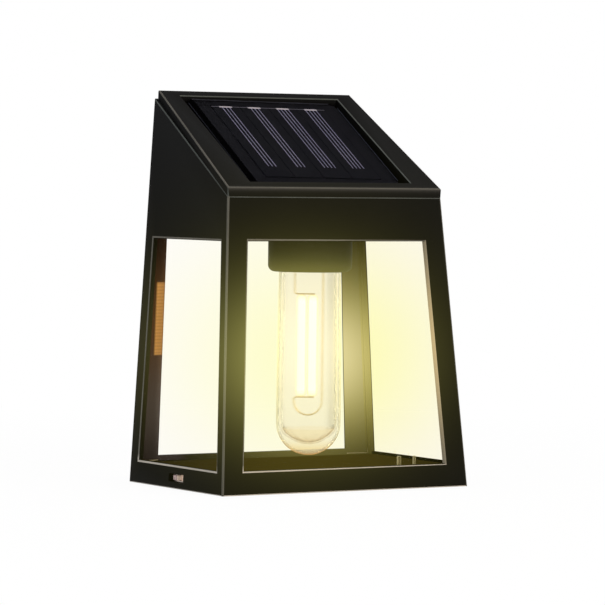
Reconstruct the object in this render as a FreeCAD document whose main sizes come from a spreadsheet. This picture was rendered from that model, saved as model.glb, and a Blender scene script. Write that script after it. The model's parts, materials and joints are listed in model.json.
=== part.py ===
import FreeCAD, Part
import math
import os
import re
import Sketcher

# Solar wall light: a tapered lantern with a sloping solar roof, in millimetres.
# The bodies are drawn with height zero at the underside of the base and y zero on the wall.
# Each is then lowered by the hanger height, so the origin is the centre of the keyhole's entry.
# The front of the lantern looks along -y.

# Driving sizes: name, value, what it is
SIZES = [
    # Outline of the lantern
    ("base_width", 112.0, "width of the lantern at its base"),
    ("base_depth", 73.0, "depth of the lantern at its base"),
    ("crown_width", 92.5, "width of the side walls at the rear top corner"),
    ("crown_height", 151.4, "height of the side walls at the rear"),
    ("brow_height", 113.4, "height of the front wall"),
    ("brow_depth", 62.4, "depth of the lantern at the top of the front wall"),
    ("wall", 2.0, "thickness of the moulded walls"),
    ("slip", 0.15, "clearance between parts that slide together"),
    ("overrun", 20.0, "length by which a cut runs past the material"),
    ("corner_round", 0.7, "radius of the outer corners"),
    # Windows
    ("sill_height", 9.25, "height of the lower edge of the windows"),
    ("head_drop", 17.1, "height of the solid band over the front window"),
    ("front_stile", 9.5, "width of the frame beside the front window"),
    ("side_stile_front", 5.2, "width of the frame before a side window"),
    ("side_stile_rear", 6.5, "width of the frame behind a side window"),
    ("window_bevel", 0.5, "bevel round the windows"),
    # Floor and base
    ("floor_height", 8.2, "height of the chamber's floor"),
    ("floor_thickness", 1.6, "thickness of the chamber's floor"),
    ("base_thickness", 1.6, "thickness of the base plate"),
    ("boss_half", 2.3, "half the width of the screw bosses"),
    ("base_boss_side", 10.5, "distance of a base screw from the side of the base"),
    ("base_boss_rear", 8.5, "distance of the rear base screws from the wall"),
    ("base_boss_front", 8.0, "distance of the front base screws from the front"),
    ("pilot_gap", 0.04, "clearance of a screw in its pilot hole"),
    # Case screws, whose heads sit in counterbores
    ("case_screw_radius", 1.0, "radius of a case screw"),
    ("case_screw_head", 1.9, "radius of a case screw's head"),
    ("case_head_height", 0.9, "height of a case screw's head"),
    ("case_screw_length", 6.0, "length of a case screw"),
    # Back frame
    ("back_thickness", 2.6, "thickness of the back frame"),
    ("post_swell", 1.6, "extra thickness of a post beside the side wall"),
    ("post_width_low", 8.9, "width of a post at the lower rail"),
    ("post_width_high", 6.4, "width of a post at the upper panel"),
    ("rail_height", 10.2, "height of the lower rail of the back frame"),
    ("upper_screw_x", 37.0, "side offset of the upper case screws"),
    ("upper_screw_share", 0.658, "place of the upper case screws in the height of the hood"),
    ("lower_screw_x", 30.0, "side offset of the lower case screws"),
    ("lower_screw_height", 4.3, "height of the lower case screws"),
    ("back_boss_length", 9.0, "length of the bosses behind the back frame"),
    ("boss_web", 1.6, "thickness of the webs that carry the upper bosses"),
    # Keyhole hanger
    ("hanger_share", 0.8761, "place of the keyhole in the free height of the hood"),
    ("keyhole_radius", 4.0, "radius of the keyhole's entry hole"),
    ("keyhole_slot", 2.1, "half the width of the keyhole's slot"),
    ("keyhole_rise", 7.5, "rise of the slot above the entry hole"),
    ("keyhole_pocket", 5.4, "depth of the closed pocket behind the keyhole"),
    ("keyhole_rim", 1.2, "wall of the closed pocket behind the keyhole"),
    # Lead channel
    ("channel_width", 3.0, "width of the lead channel in the left post"),
    ("channel_depth", 1.9, "depth of the lead channel"),
    ("channel_gate", 7.6, "height of the openings at the ends of the channel"),
    # Ceiling plate
    ("ceiling_drop", 14.9, "distance of the ceiling plate below the top of the front wall"),
    ("ceiling_thickness", 2.0, "thickness of the ceiling plate"),
    ("ledge_height", 1.1, "height of the ledge under the ceiling plate"),
    ("ledge_reach", 1.9, "reach of the ledge from the wall"),
    ("ear_reach", 9.0, "reach of the lugs that carry the ceiling plate"),
    ("ear_width", 8.0, "width of the lugs that carry the ceiling plate"),
    ("ear_x", 36.5, "side offset of the lugs that carry the ceiling plate"),
    ("ear_screw_reach", 7.0, "distance of the lug screws from the wall"),
    # Roof
    ("roof_rise", 3.6, "height of the roof slab's edge"),
    ("roof_back_width", 89.0, "width of the roof at the wall"),
    ("roof_front_width", 97.4, "width of the roof at the front"),
    ("roof_bevel", 0.5, "bevel of the roof's upper edges"),
    ("plug_thickness", 1.4, "thickness of the plug under the roof slab"),
    ("recess_half_width", 36.6, "half the width of the panel's recess"),
    ("recess_start", 4.5, "distance of the recess from the top edge of the roof"),
    ("recess_margin", 4.36, "distance of the far end of the recess from the end of the slope"),
    ("panel_seat", 3.0, "depth of the recess"),
    ("recess_bevel", 0.35, "bevel round the recess"),
    ("lead_hole_radius", 2.6, "radius of the hole for the panel's leads"),
    ("lead_hole_x", 14.0, "side offset of that hole"),
    ("lead_hole_down", 30.0, "distance of that hole from the top edge"),
    # Solar panel
    ("panel_width", 68.6, "width of the solar panel"),
    ("panel_play", 2.6, "play of the solar panel in the recess along the slope"),
    ("panel_x", -0.6, "side offset of the panel's centre"),
    ("panel_shift", 0.1, "shift of the panel up the slope from the middle of the recess"),
    ("panel_angle", -1.33, "turn of the panel in its recess, in degrees"),
    ("panel_corner", 3.0, "radius of the panel's corners"),
    ("foam_thickness", 0.4, "thickness of the foam pad under the panel"),
    ("foam_width", 6.0, "width of the foam pad's border"),
    ("panel_board_thickness", 1.0, "thickness of the panel's backing board"),
    ("cell_thickness", 0.2, "thickness of a solar cell"),
    ("cell_width", 12.8, "width of a cell strip"),
    ("cell_pitch", 13.05, "pitch of the cell strips"),
    ("cell_margin", 4.0, "distance of the cell strips from the ends of the panel"),
    ("cells_x", 1.2, "side offset of the middle of the four strips on the panel"),
    ("finger_thickness", 0.06, "thickness of the printed silver lines"),
    ("finger_width", 0.26, "width of a silver line"),
    ("finger_pitch", 1.65, "pitch of the silver lines"),
    ("finger_rest", 9.1, "length of a cell strip that its silver lines leave free"),
    ("tab_width", 5.9, "width of a tab that joins a group of lines"),
    ("tab_length", 0.9, "length of a tab along the slope"),
    ("tab_down", 10.2, "distance of the tabs from the top edge of the roof"),
    ("cover_thickness", 0.6, "thickness of the clear cover of the panel"),
    # Panes
    ("pane_thickness", 1.2, "thickness of the clear panes"),
    ("lug_width", 2.0, "width of a snap lug on a side pane"),
    ("lug_reach", 0.9, "thickness of a snap lug"),
    ("lug_height", 2.9, "height of a snap lug"),
    ("lug_rear", 28.0, "distance of the rear snap lug from the wall"),
    ("lug_pitch", 10.0, "distance between the two snap lugs"),
    # Bulb
    ("bulb_setback", 43.5, "distance of the bulb's axis from the wall"),
    ("bulb_angle", 31.6, "turn of the filaments about the bulb's axis, in degrees"),
    ("socket_radius", 16.5, "radius of the bulb socket"),
    ("socket_height", 14.5, "height of the socket"),
    ("socket_bevel", 1.4, "bevel of the socket's lower edge"),
    ("socket_web", 2.7, "thickness of the web on top of the socket"),
    ("socket_screw_x", 10.0, "side offset of the socket screws"),
    ("wire_hole_radius", 4.0, "radius of the hole for the bulb's leads"),
    ("glass_radius", 12.65, "radius of the bulb"),
    ("glass_wall", 1.5, "wall of the bulb"),
    ("glass_lift", 3.8, "gap between the bulb and the chamber's floor"),
    ("glass_floor", 4.2, "thickness of the glass at the bulb's lowest point"),
    ("glass_slant", 3.2, "bevel of the bulb's inner floor"),
    ("glass_gap", 0.1, "clearance between the bulb's rim and its socket"),
    ("lamp_board_thickness", 1.2, "thickness of the round board in the socket"),
    ("filament_width", 1.9, "width of a filament"),
    ("filament_depth", 0.9, "depth of a filament"),
    ("filament_rise", 23.0, "height of the filaments over the bulb's lowest point"),
    ("filament_drop", 9.0, "distance of the filaments below the socket"),
    ("filament_left_x", -3.1, "side offset of the left filament"),
    ("filament_right_x", 1.3, "side offset of the right filament"),
    ("wire_radius", 0.25, "radius of the support wires"),
    ("wire_left_x", -5.8, "side offset of the left support wire"),
    ("wire_right_x", 5.2, "side offset of the right support wire"),
    ("wire_bend", 0.9, "bend radius where a support wire meets the filaments"),
    ("wire_reach", 0.8, "length of a support wire past the right filament"),
    # Battery
    ("cell_radius", 7.1, "radius of the battery"),
    ("cell_body_length", 49.0, "length of the battery's can"),
    ("nub_radius", 2.7, "radius of the battery's positive end"),
    ("nub_length", 1.2, "length of the battery's positive end"),
    ("tray_base", 1.2, "thickness of the battery tray under the battery"),
    ("tray_wall", 1.4, "thickness of the battery tray's walls"),
    ("tray_height", 9.5, "height of the battery tray"),
    ("tray_gap", 0.2, "clearance between the battery and its tray"),
    ("contact_room", 2.6, "room for a contact between the battery and the tray"),
    ("contact_thickness", 0.35, "thickness of a battery contact"),
    ("contact_width", 7.0, "width of a battery contact"),
    ("contact_foot", 3.0, "height of the lower edge of a contact above the ceiling plate"),
    ("contact_rise", 4.5, "height of a contact above the battery's axis"),
    # Control board
    ("board_width", 46.0, "width of the control board"),
    ("board_depth", 24.0, "depth of the control board"),
    ("board_thickness", 1.6, "thickness of the control board"),
    ("board_setback", 42.5, "distance of the board's middle from the wall"),
    ("standoff_height", 4.0, "height of the standoffs under the board"),
    ("standoff_radius", 2.4, "radius of the standoffs under the board"),
    ("standoff_x", 20.0, "side offset of the standoffs"),
    ("small_screw_radius", 0.8, "radius of the inner screws"),
    ("small_screw_head", 1.6, "radius of an inner screw's head"),
    ("small_head_height", 1.0, "height of an inner screw's head"),
    ("small_screw_length", 4.2, "length of an inner screw"),
    ("chip_length", 4.9, "length of the driver chip"),
    ("chip_width", 3.9, "width of the driver chip"),
    ("chip_height", 1.5, "height of the driver chip"),
    ("chip_x", 4.0, "side offset of the driver chip"),
    ("inductor_radius", 3.0, "radius of the inductor"),
    ("inductor_height", 4.0, "height of the inductor"),
    ("inductor_x", -5.0, "side offset of the inductor"),
    ("capacitor_radius", 2.0, "radius of a capacitor"),
    ("capacitor_height", 5.2, "height of a capacitor"),
    ("capacitor_x", 12.0, "side offset of the first capacitor"),
    ("capacitor_pitch", 5.0, "pitch of the capacitors"),
    ("parts_forward", 4.0, "offset of the board's parts towards the front"),
    # Slide switch
    ("slot_rear", 31.2, "distance of the switch slot from the wall"),
    ("slot_length", 11.3, "length of the switch slot"),
    ("slot_low", 2.6, "height of the lower edge of the switch slot"),
    ("slot_height", 3.2, "height of the switch slot"),
    ("switch_length", 12.8, "length of the switch's metal shell"),
    ("switch_height", 4.2, "height of the switch's metal shell"),
    ("switch_depth", 4.4, "depth of the switch from front to pins"),
    ("shell_thickness", 0.4, "thickness of the switch's metal shell"),
    ("switch_tongue_gap", 0.1, "clearance round the switch's knob"),
    ("knob_length", 3.2, "length of the switch's knob"),
    ("knob_height", 2.0, "height of the switch's knob"),
    ("knob_reach", 1.5, "reach of the knob out of the metal shell"),
    ("knob_travel", 2.5, "travel of the switch's knob"),
    ("knob_foot_depth", 1.0, "depth of the slider inside the shell"),
    ("knob_foot_margin", 0.8, "length of the slider past each end of the knob"),
    ("knob_rear_offset", 2.2, "rear end of the knob before the slot's rear end, at rest"),
    ("pin_radius", 0.35, "half the thickness of a switch pin"),
    ("pin_length", 2.2, "length of a switch pin"),
    ("pin_pitch", 2.5, "pitch of the switch pins"),
    ("rib_thickness", 1.2, "thickness of the ribs that hold the switch"),
    ("rib_reach", 5.0, "reach of those ribs from the wall"),
    # Leads
    ("lead_radius", 0.55, "radius of a lead"),
    ("lead_pitch", 1.3, "distance between the leads of a pair"),
    ("lead_bend_limit", 6.0, "largest bend radius of a lead"),
    ("lead_bend_share", 0.45, "part of a straight run that a bend may take"),
    ("lead_arch", 6.0, "height of a lead above the part that it leaves"),
    ("lead_crest_share", 0.56, "height of the leads over the board, as a share of the free height"),
    ("lead_rise_share", 0.35, "height of the leads over the battery, as a share of the free height"),
]

document = FreeCAD.newDocument("solar_wall_light")
sheet = document.addObject("Spreadsheet::Sheet", "sizes")
for row, (name, value, note) in enumerate(SIZES, start=1):
    sheet.set(f"A{row}", name)
    sheet.set(f"B{row}", str(value))
    sheet.set(f"C{row}", note)
    sheet.setAlias(f"B{row}", name)
document.recompute()
NAMES = {name for name, value, note in SIZES}


def tied(expression):
    """The expression with every driving size read from the sheet."""
    text = str(expression)
    return re.sub(r"[a-z_]+", lambda word: "sizes." + word[0] if word[0] in NAMES else word[0], text)


def measure(expression):
    """The value of an expression, for shapes that are drawn in code."""
    answer = sheet.evalExpression(tied(expression))
    return float(getattr(answer, "Value", answer))


# Sizes that follow from the driving sizes
PITCH = "atan((crown_height-brow_height)/brow_depth)"
SLOPE = "sqrt(brow_depth^2+(crown_height-brow_height)^2)"
SLAB = f"(roof_rise*cos({PITCH}))"
FLOOR_UNDER = "(floor_height-floor_thickness)"
WINDOW_TOP = "(brow_height-head_drop)"
CEILING = "(brow_height-ceiling_drop)"
CEILING_TOP = f"({CEILING}+ceiling_thickness)"
PANE_TOP = f"({CEILING}-ledge_height-slip)"
POST_FRONT = "(back_thickness+post_swell)"
LENS_REAR = f"({POST_FRONT}+slip)"
BOARD_FOOT = f"({CEILING_TOP}+standoff_height)"
BOARD_TOP = f"({BOARD_FOOT}+board_thickness)"
TRAY_HALF = "(cell_body_length/2+contact_room)"
UPPER_SCREW = f"({CEILING_TOP}+upper_screw_share*(crown_height-{CEILING_TOP}))"
UNDER_PLUG = f"(crown_height-(plug_thickness+slip)/cos({PITCH}))"
RECESS_LENGTH = f"({SLOPE}-recess_start-recess_margin)"
PANEL_LENGTH = f"({RECESS_LENGTH}-panel_play)"
PANEL_DOWN = f"(recess_start+{RECESS_LENGTH}/2-panel_shift)"
CELL_LENGTH = f"({PANEL_LENGTH}-2*cell_margin)"

# The keyhole's pocket sits in the free height between the ceiling plate and the roof
KEY_HALF = "(keyhole_radius+keyhole_rim+slip)"
KEY_REACH = "(back_thickness+keyhole_pocket+keyhole_rim)"
TRAY_SIDE = "(cell_radius+tray_gap+tray_wall)"
BATTERY_SETBACK = f"({KEY_REACH}+slip+{TRAY_SIDE})"
KEY_TOP = f"({UNDER_PLUG}-{KEY_REACH}*tan({PITCH})-keyhole_rise-{KEY_HALF})"
KEY_BOTTOM = f"({CEILING_TOP}+{KEY_HALF})"
HANGER = f"({KEY_BOTTOM}+hanger_share*({KEY_TOP}-{KEY_BOTTOM}))"


def half_width(height):
    """Half the lantern's width at a height."""
    return f"(base_width/2-(base_width-crown_width)/2*({height})/crown_height)"


def inner_half(height):
    """Half the width between the side walls at a height."""
    return f"({half_width(height)}-wall)"


def depth(height):
    """The lantern's depth at a height of its front wall."""
    return f"(base_depth-(base_depth-brow_depth)*({height})/brow_height)"


def inner_depth(height):
    """The distance from the wall plane to the inside of the front wall."""
    return f"({depth(height)}-wall)"


def new_body(label):
    """An empty body with its name."""
    body = document.addObject("PartDesign::Body", label)
    body.Label = label
    return body


def sketch_on(body, role, name, offset="0"):
    """A sketch on one of the body's own origin planes, moved along its normal."""
    sketch = body.newObject("Sketcher::SketchObject", name)
    plane = next(item for item in body.Origin.OriginFeatures if item.Role == role)
    sketch.AttachmentSupport = [(plane, "")]
    sketch.MapMode = "FlatFace"
    sketch.setExpression("AttachmentOffset.Base.z", tied(offset))
    return sketch


def outline(sketch, points):
    """A closed polygon whose corners are tied to the sheet."""
    first = sketch.GeometryCount
    count = len(points)
    ring = []
    for corner in range(count):
        angle = 2 * math.pi * corner / count
        ring.append(FreeCAD.Vector(math.cos(angle), math.sin(angle), 0))
    for corner in range(count):
        sketch.addGeometry(Part.LineSegment(ring[corner], ring[(corner + 1) % count]), False)
    for corner in range(count):
        after = first + (corner + 1) % count
        sketch.addConstraint(Sketcher.Constraint("Coincident", first + corner, 2, after, 1))
    for corner, place in enumerate(points):
        for kind, expression in zip(("DistanceX", "DistanceY"), place):
            rule = Sketcher.Constraint(kind, -1, 1, first + corner, 1, 1.0)
            index = sketch.addConstraint(rule)
            sketch.setExpression(f"Constraints[{index}]", tied(expression))


def rectangle(sketch, left, right, low, high):
    """A closed rectangle from two sides and two heights."""
    outline(sketch, [(left, low), (right, low), (right, high), (left, high)])


def circle(sketch, x, y, radius):
    """A circle whose centre and radius are tied to the sheet."""
    start = FreeCAD.Vector(1, 1, 0)
    ring = sketch.addGeometry(Part.Circle(start, FreeCAD.Vector(0, 0, 1), 1), False)
    for kind, expression in (("DistanceX", x), ("DistanceY", y)):
        index = sketch.addConstraint(Sketcher.Constraint(kind, -1, 1, ring, 3, 1.0))
        sketch.setExpression(f"Constraints[{index}]", tied(expression))
    index = sketch.addConstraint(Sketcher.Constraint("Radius", ring, 1.0))
    sketch.setExpression(f"Constraints[{index}]", tied(radius))


def pad(body, sketch, length, side="One side", backward=False):
    """The sketch padded along its normal, or against it."""
    feature = body.newObject("PartDesign::Pad", sketch.Name + "_pad")
    feature.Profile = sketch
    feature.SideType = side
    feature.Reversed = backward
    feature.setExpression("Length", tied(length))
    document.recompute()
    return feature


def pocket(body, sketch, length=None, forward=False):
    """The sketch cut out of the body: through everything, or to a depth."""
    before = body.Shape.Volume
    feature = body.newObject("PartDesign::Pocket", sketch.Name + "_pocket")
    feature.Profile = sketch
    if length is None:
        feature.Type = "ThroughAll"
        feature.SideType = "Symmetric"
    else:
        feature.Reversed = forward
        feature.setExpression("Length", tied(length))
    document.recompute()
    if not feature.Shape.Volume < before:
        raise RuntimeError(f"{sketch.Name} cuts nothing")
    return feature


def edges_where(feature, chosen):
    """The names of the feature's edges that a test accepts."""
    names = []
    for number, edge in enumerate(feature.Shape.Edges, start=1):
        if chosen(edge):
            names.append(f"Edge{number}")
    return names


def faces_where(feature, chosen):
    """The names of the feature's faces that a test accepts."""
    names = []
    for number, face in enumerate(feature.Shape.Faces, start=1):
        if chosen(face):
            names.append(f"Face{number}")
    return names


def dress(body, kind, feature, names, size):
    """A fillet or a chamfer on named edges."""
    if not names:
        raise RuntimeError(f"no edges for the {kind} on {body.Label}")
    trim = body.newObject("PartDesign::" + kind, body.Label + "_" + kind.lower())
    trim.Base = (feature, names)
    trim.setExpression("Radius" if kind == "Fillet" else "Size", tied(size))
    document.recompute()
    return trim


def place(item, x="0", y="0", z="0", turn=None):
    """Puts a finished piece into the frame whose origin is the hanger."""
    spot = tied(f"placement(vector({x}; {y}; {z}-{HANGER}); rotation(vector(0; 0; 1); 0))")
    if turn is not None:
        axis, angle = turn
        spot += tied(f" * placement(vector(0; 0; 0); rotation(vector({axis}); {angle}))")
    item.setExpression("Placement", spot)


def lay_on_roof(item):
    """Puts a piece that is drawn flat onto the slope of the roof."""
    place(item, z="crown_height+roof_rise", turn=("1; 0; 0", PITCH))


def lay_panel(item):
    """Puts a layer of the solar panel into its recess, a little turned."""
    spot = f"placement(vector(0; 0; crown_height+roof_rise-{HANGER}); rotation(vector(1; 0; 0); {PITCH}))"
    seat = f"vector(panel_x; -{PANEL_DOWN}; -panel_seat)"
    turned = f" * placement({seat}; rotation(vector(0; 0; 1); panel_angle))"
    item.setExpression("Placement", tied(spot + turned))


def primitive(kind, name, spot=None, **sizes):
    """A Part primitive or boolean whose sizes are tied to the sheet."""
    item = document.addObject("Part::" + kind, name)
    for key, expression in sizes.items():
        item.setExpression(key, tied(expression))
    if spot is not None:
        item.setExpression("Placement", tied(f"placement(vector({spot}); rotation(vector(0; 0; 1); 0))"))
    return item


def joined(name, items):
    """Several shapes fused into one."""
    item = document.addObject("Part::MultiFuse", name)
    item.Shapes = items
    return item


def less(name, base, tool):
    """One shape cut out of another."""
    item = document.addObject("Part::Cut", name)
    item.Base = base
    item.Tool = tool
    return item


def group(label, items):
    """Separate solids that share one node."""
    item = document.addObject("Part::Compound", label)
    item.Label = label
    item.Links = items
    return item


PIECES = []


def finish(item):
    """Notes a finished piece, to be checked and written at the end."""
    PIECES.append(item)
    return item


# Lantern housing: front and side walls in one moulding, with the chamber's floor
housing = new_body("lantern_housing")
front_view = sketch_on(housing, "XZ_Plane", "front_view")
outline(front_view, [
    ("-base_width/2", "0"),
    ("base_width/2", "0"),
    ("crown_width/2", "crown_height"),
    ("-crown_width/2", "crown_height"),
])
pad(housing, front_view, "max(base_depth; brow_depth)")
slopes = sketch_on(housing, "YZ_Plane", "front_and_roof_slopes")
outline(slopes, [
    ("-base_depth", "0"),
    ("-brow_depth", "brow_height"),
    ("0", "crown_height"),
    ("0", "crown_height+overrun"),
    ("-base_depth-overrun", "crown_height+overrun"),
    ("-base_depth-overrun", "0"),
])
block = pocket(housing, slopes)
walls = housing.newObject("PartDesign::Thickness", "walls")
open_faces = faces_where(block, lambda face: face.normalAt(0, 0).y > 0.9 or abs(face.normalAt(0, 0).z) > 0.5)
walls.Base = (block, open_faces)
walls.Reversed = True
walls.Join = "Intersection"
walls.setExpression("Value", tied("wall"))
document.recompute()

floor = sketch_on(housing, "XY_Plane", "chamber_floor", FLOOR_UNDER)
floor_half = f"({half_width('floor_height')}-wall/2)"
floor_front = f"({depth('floor_height')}-wall/2)"
rectangle(floor, f"-{floor_half}", floor_half, f"-{floor_front}", "-back_thickness-slip")
pad(housing, floor, "floor_thickness")

ledge = sketch_on(housing, "XY_Plane", "ceiling_ledge", f"{CEILING}-ledge_height")
ledge_out = f"({half_width(CEILING)}-wall/2)"
ledge_in = f"({half_width(CEILING)}-ledge_reach-wall/2)"
ledge_front_out = f"({depth(CEILING)}-wall/2)"
ledge_front_in = f"({depth(CEILING)}-ledge_reach-wall/2)"
outline(ledge, [
    (f"-{ledge_out}", f"-{LENS_REAR}"),
    (f"-{ledge_out}", f"-{ledge_front_out}"),
    (ledge_out, f"-{ledge_front_out}"),
    (ledge_out, f"-{LENS_REAR}"),
    (ledge_in, f"-{LENS_REAR}"),
    (ledge_in, f"-{ledge_front_in}"),
    (f"-{ledge_in}", f"-{ledge_front_in}"),
    (f"-{ledge_in}", f"-{LENS_REAR}"),
])
pad(housing, ledge, "ledge_height")

BASE_SCREW_X = "(base_width/2-base_boss_side)"
BASE_SCREW_YS = ("-base_boss_rear", "(base_boss_front-base_depth)")
BASE_PLACES = [(f"{sign}{BASE_SCREW_X}", y) for sign in ("", "-") for y in BASE_SCREW_YS]
base_bosses = sketch_on(housing, "XY_Plane", "base_bosses", "base_thickness")
for x, y in BASE_PLACES:
    rectangle(base_bosses, f"{x}-boss_half", f"{x}+boss_half", f"{y}-boss_half", f"{y}+boss_half")
pad(housing, base_bosses, f"{FLOOR_UNDER}-base_thickness")
base_pilots = sketch_on(housing, "XY_Plane", "base_pilots", "base_thickness")
for x, y in BASE_PLACES:
    circle(base_pilots, x, y, "case_screw_radius+pilot_gap")
pocket(housing, base_pilots, "case_screw_length+pilot_gap-base_thickness", forward=True)

for number, sign in enumerate(("", "-")):
    webs = sketch_on(housing, "XZ_Plane", f"back_boss_web_{number}", "back_thickness")
    rectangle(
        webs,
        f"{sign}upper_screw_x",
        f"{sign}({half_width(UPPER_SCREW)}-wall/2)",
        f"{UPPER_SCREW}-boss_web/2",
        f"{UPPER_SCREW}+boss_web/2",
    )
    rectangle(
        webs,
        f"{sign}lower_screw_x-boss_half*3/4",
        f"{sign}lower_screw_x+boss_half*3/4",
        "lower_screw_height",
        f"{FLOOR_UNDER}+floor_thickness/2",
    )
    pad(housing, webs, "back_boss_length")
BACK_PLACES = [
    ("upper_screw_x", UPPER_SCREW),
    ("-upper_screw_x", UPPER_SCREW),
    ("lower_screw_x", "lower_screw_height"),
    ("-lower_screw_x", "lower_screw_height"),
]
back_bosses = sketch_on(housing, "XZ_Plane", "back_bosses", "back_thickness")
for x, z in BACK_PLACES:
    rectangle(back_bosses, f"{x}-boss_half", f"{x}+boss_half", f"{z}-boss_half", f"{z}+boss_half")
pad(housing, back_bosses, "back_boss_length")
back_pilots = sketch_on(housing, "XZ_Plane", "back_pilots", "back_thickness")
for x, z in BACK_PLACES:
    circle(back_pilots, x, z, "case_screw_radius+pilot_gap")
pocket(housing, back_pilots, "case_screw_length", forward=True)

SWITCH_MID = "(slot_rear+slot_length/2)"
SWITCH_TOP = "(slot_low+slot_height/2+switch_height/2)"
SWITCH_FACE = f"({inner_half(SWITCH_TOP)}-slip)"
switch_ribs = sketch_on(housing, "XY_Plane", "switch_ribs", "base_thickness+slip")
rib_out = f"({half_width('floor_height')}-wall/2)"
for sign in ("-", "+"):
    near = f"-{SWITCH_MID}{sign}(switch_length/2+slip)"
    far = f"-{SWITCH_MID}{sign}(switch_length/2+slip+rib_thickness)"
    rectangle(switch_ribs, f"-{rib_out}", f"-{rib_out}+rib_reach", near, far)
pad(housing, switch_ribs, f"{FLOOR_UNDER}-base_thickness-slip")
switch_slot = sketch_on(housing, "YZ_Plane", "switch_slot")
rectangle(switch_slot, "-slot_rear-slot_length", "-slot_rear", "slot_low", "slot_low+slot_height")
pocket(housing, switch_slot, "base_width")

front_window = sketch_on(housing, "XZ_Plane", "front_window")
low_half = f"({half_width('sill_height')}-front_stile)"
high_half = f"({half_width(WINDOW_TOP)}-front_stile)"
outline(front_window, [
    (f"-{low_half}", "sill_height"),
    (low_half, "sill_height"),
    (high_half, WINDOW_TOP),
    (f"-{high_half}", WINDOW_TOP),
])
pocket(housing, front_window)
side_windows = sketch_on(housing, "YZ_Plane", "side_windows")
outline(side_windows, [
    ("-side_stile_rear", "sill_height"),
    (f"side_stile_front-{depth('sill_height')}", "sill_height"),
    (f"side_stile_front-{depth(WINDOW_TOP)}", WINDOW_TOP),
    ("-side_stile_rear", WINDOW_TOP),
])
cut_windows = pocket(housing, side_windows)

SMALL = measure("slip")
SILL = measure("sill_height")
HEAD = measure(WINDOW_TOP)


def on_side(point):
    """True where a point lies on the outer face of a side wall."""
    side = measure("base_width/2") - measure("(base_width-crown_width)/2/crown_height") * point.z
    return abs(abs(point.x) - side) < SMALL


def on_front(point):
    """True where a point lies on the outer face of the front wall."""
    front = measure("base_depth") - measure("(base_depth-brow_depth)/brow_height") * point.z
    return abs(point.y + front) < SMALL


def on_outside(point):
    """True where a point lies on the outer face of a wall."""
    return on_side(point) or on_front(point)


def round_a_window(edge):
    """True for the outer edges of the three windows."""
    ends = [vertex.Point for vertex in edge.Vertexes]
    if len(ends) < 2 or not all(on_outside(point) for point in ends):
        return False
    return all(SILL - SMALL < point.z < HEAD + SMALL for point in ends)


bevels = dress(housing, "Chamfer", cut_windows, edges_where(cut_windows, round_a_window), "window_bevel")


def front_corner(edge):
    """True for the two long outer corners of the lantern."""
    ends = [vertex.Point for vertex in edge.Vertexes]
    if len(ends) < 2 or not all(on_side(point) and on_front(point) for point in ends):
        return False
    return abs(ends[0].z - ends[1].z) > measure("brow_height-overrun")


corners = dress(housing, "Fillet", bevels, edges_where(bevels, front_corner), "corner_round")
place(housing)
finish(housing)

# Base plate: closes the shallow room under the chamber's floor
base_plate = new_body("base_plate")
plate = sketch_on(base_plate, "XY_Plane", "base_outline")
plate_half = f"({inner_half('base_thickness')}-slip)"
plate_front = f"({inner_depth('base_thickness')}-slip)"
rectangle(plate, f"-{plate_half}", plate_half, f"-{plate_front}", "-back_thickness-slip")
pad(base_plate, plate, "base_thickness")
plate_holes = sketch_on(base_plate, "XY_Plane", "base_holes")
for x, y in BASE_PLACES:
    circle(plate_holes, x, y, "case_screw_radius+slip")
pocket(base_plate, plate_holes)
plate_seats = sketch_on(base_plate, "XY_Plane", "base_counterbores")
for x, y in BASE_PLACES:
    circle(plate_seats, x, y, "case_screw_head+slip")
pocket(base_plate, plate_seats, "case_head_height", forward=True)
place(base_plate)
finish(base_plate)

# Back frame: the rear moulding, with the open rear window and the keyhole
back_frame = new_body("back_frame")
back_view = sketch_on(back_frame, "XZ_Plane", "back_view")
back_low = f"({inner_half('0')}-slip)"
back_high = f"({inner_half('crown_height')}-slip)"
outline(back_view, [
    (f"-{back_low}", "0"),
    (back_low, "0"),
    (back_high, "crown_height"),
    (f"-{back_high}", "crown_height"),
])
pad(back_frame, back_view, "back_thickness")
POST_INNER_LOW = f"({inner_half('rail_height')}-post_width_low)"
POST_INNER_HIGH = f"({inner_half(WINDOW_TOP)}-post_width_high)"
post = sketch_on(back_frame, "XY_Plane", "post_foot")
for number, (height, inner) in enumerate((("0", POST_INNER_LOW), (WINDOW_TOP, POST_INNER_HIGH))):
    level = post if number == 0 else sketch_on(back_frame, "XY_Plane", "post_head", height)
    outer = f"({inner_half(height)}-slip)"
    outline(level, [
        (outer, "-back_thickness/2"),
        (outer, f"-{POST_FRONT}"),
        (inner, "-back_thickness"),
        (inner, "-back_thickness/2"),
    ])
swell = back_frame.newObject("PartDesign::AdditiveLoft", "post_swell_loft")
swell.Profile = post
swell.Sections = [level]
swell.Ruled = True
document.recompute()
mirrored = back_frame.newObject("PartDesign::Mirrored", "other_post")
mirrored.Originals = [swell]
mirrored.MirrorPlane = (next(i for i in back_frame.Origin.OriginFeatures if i.Role == "YZ_Plane"), [""])
back_frame.Tip = mirrored
document.recompute()

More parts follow.
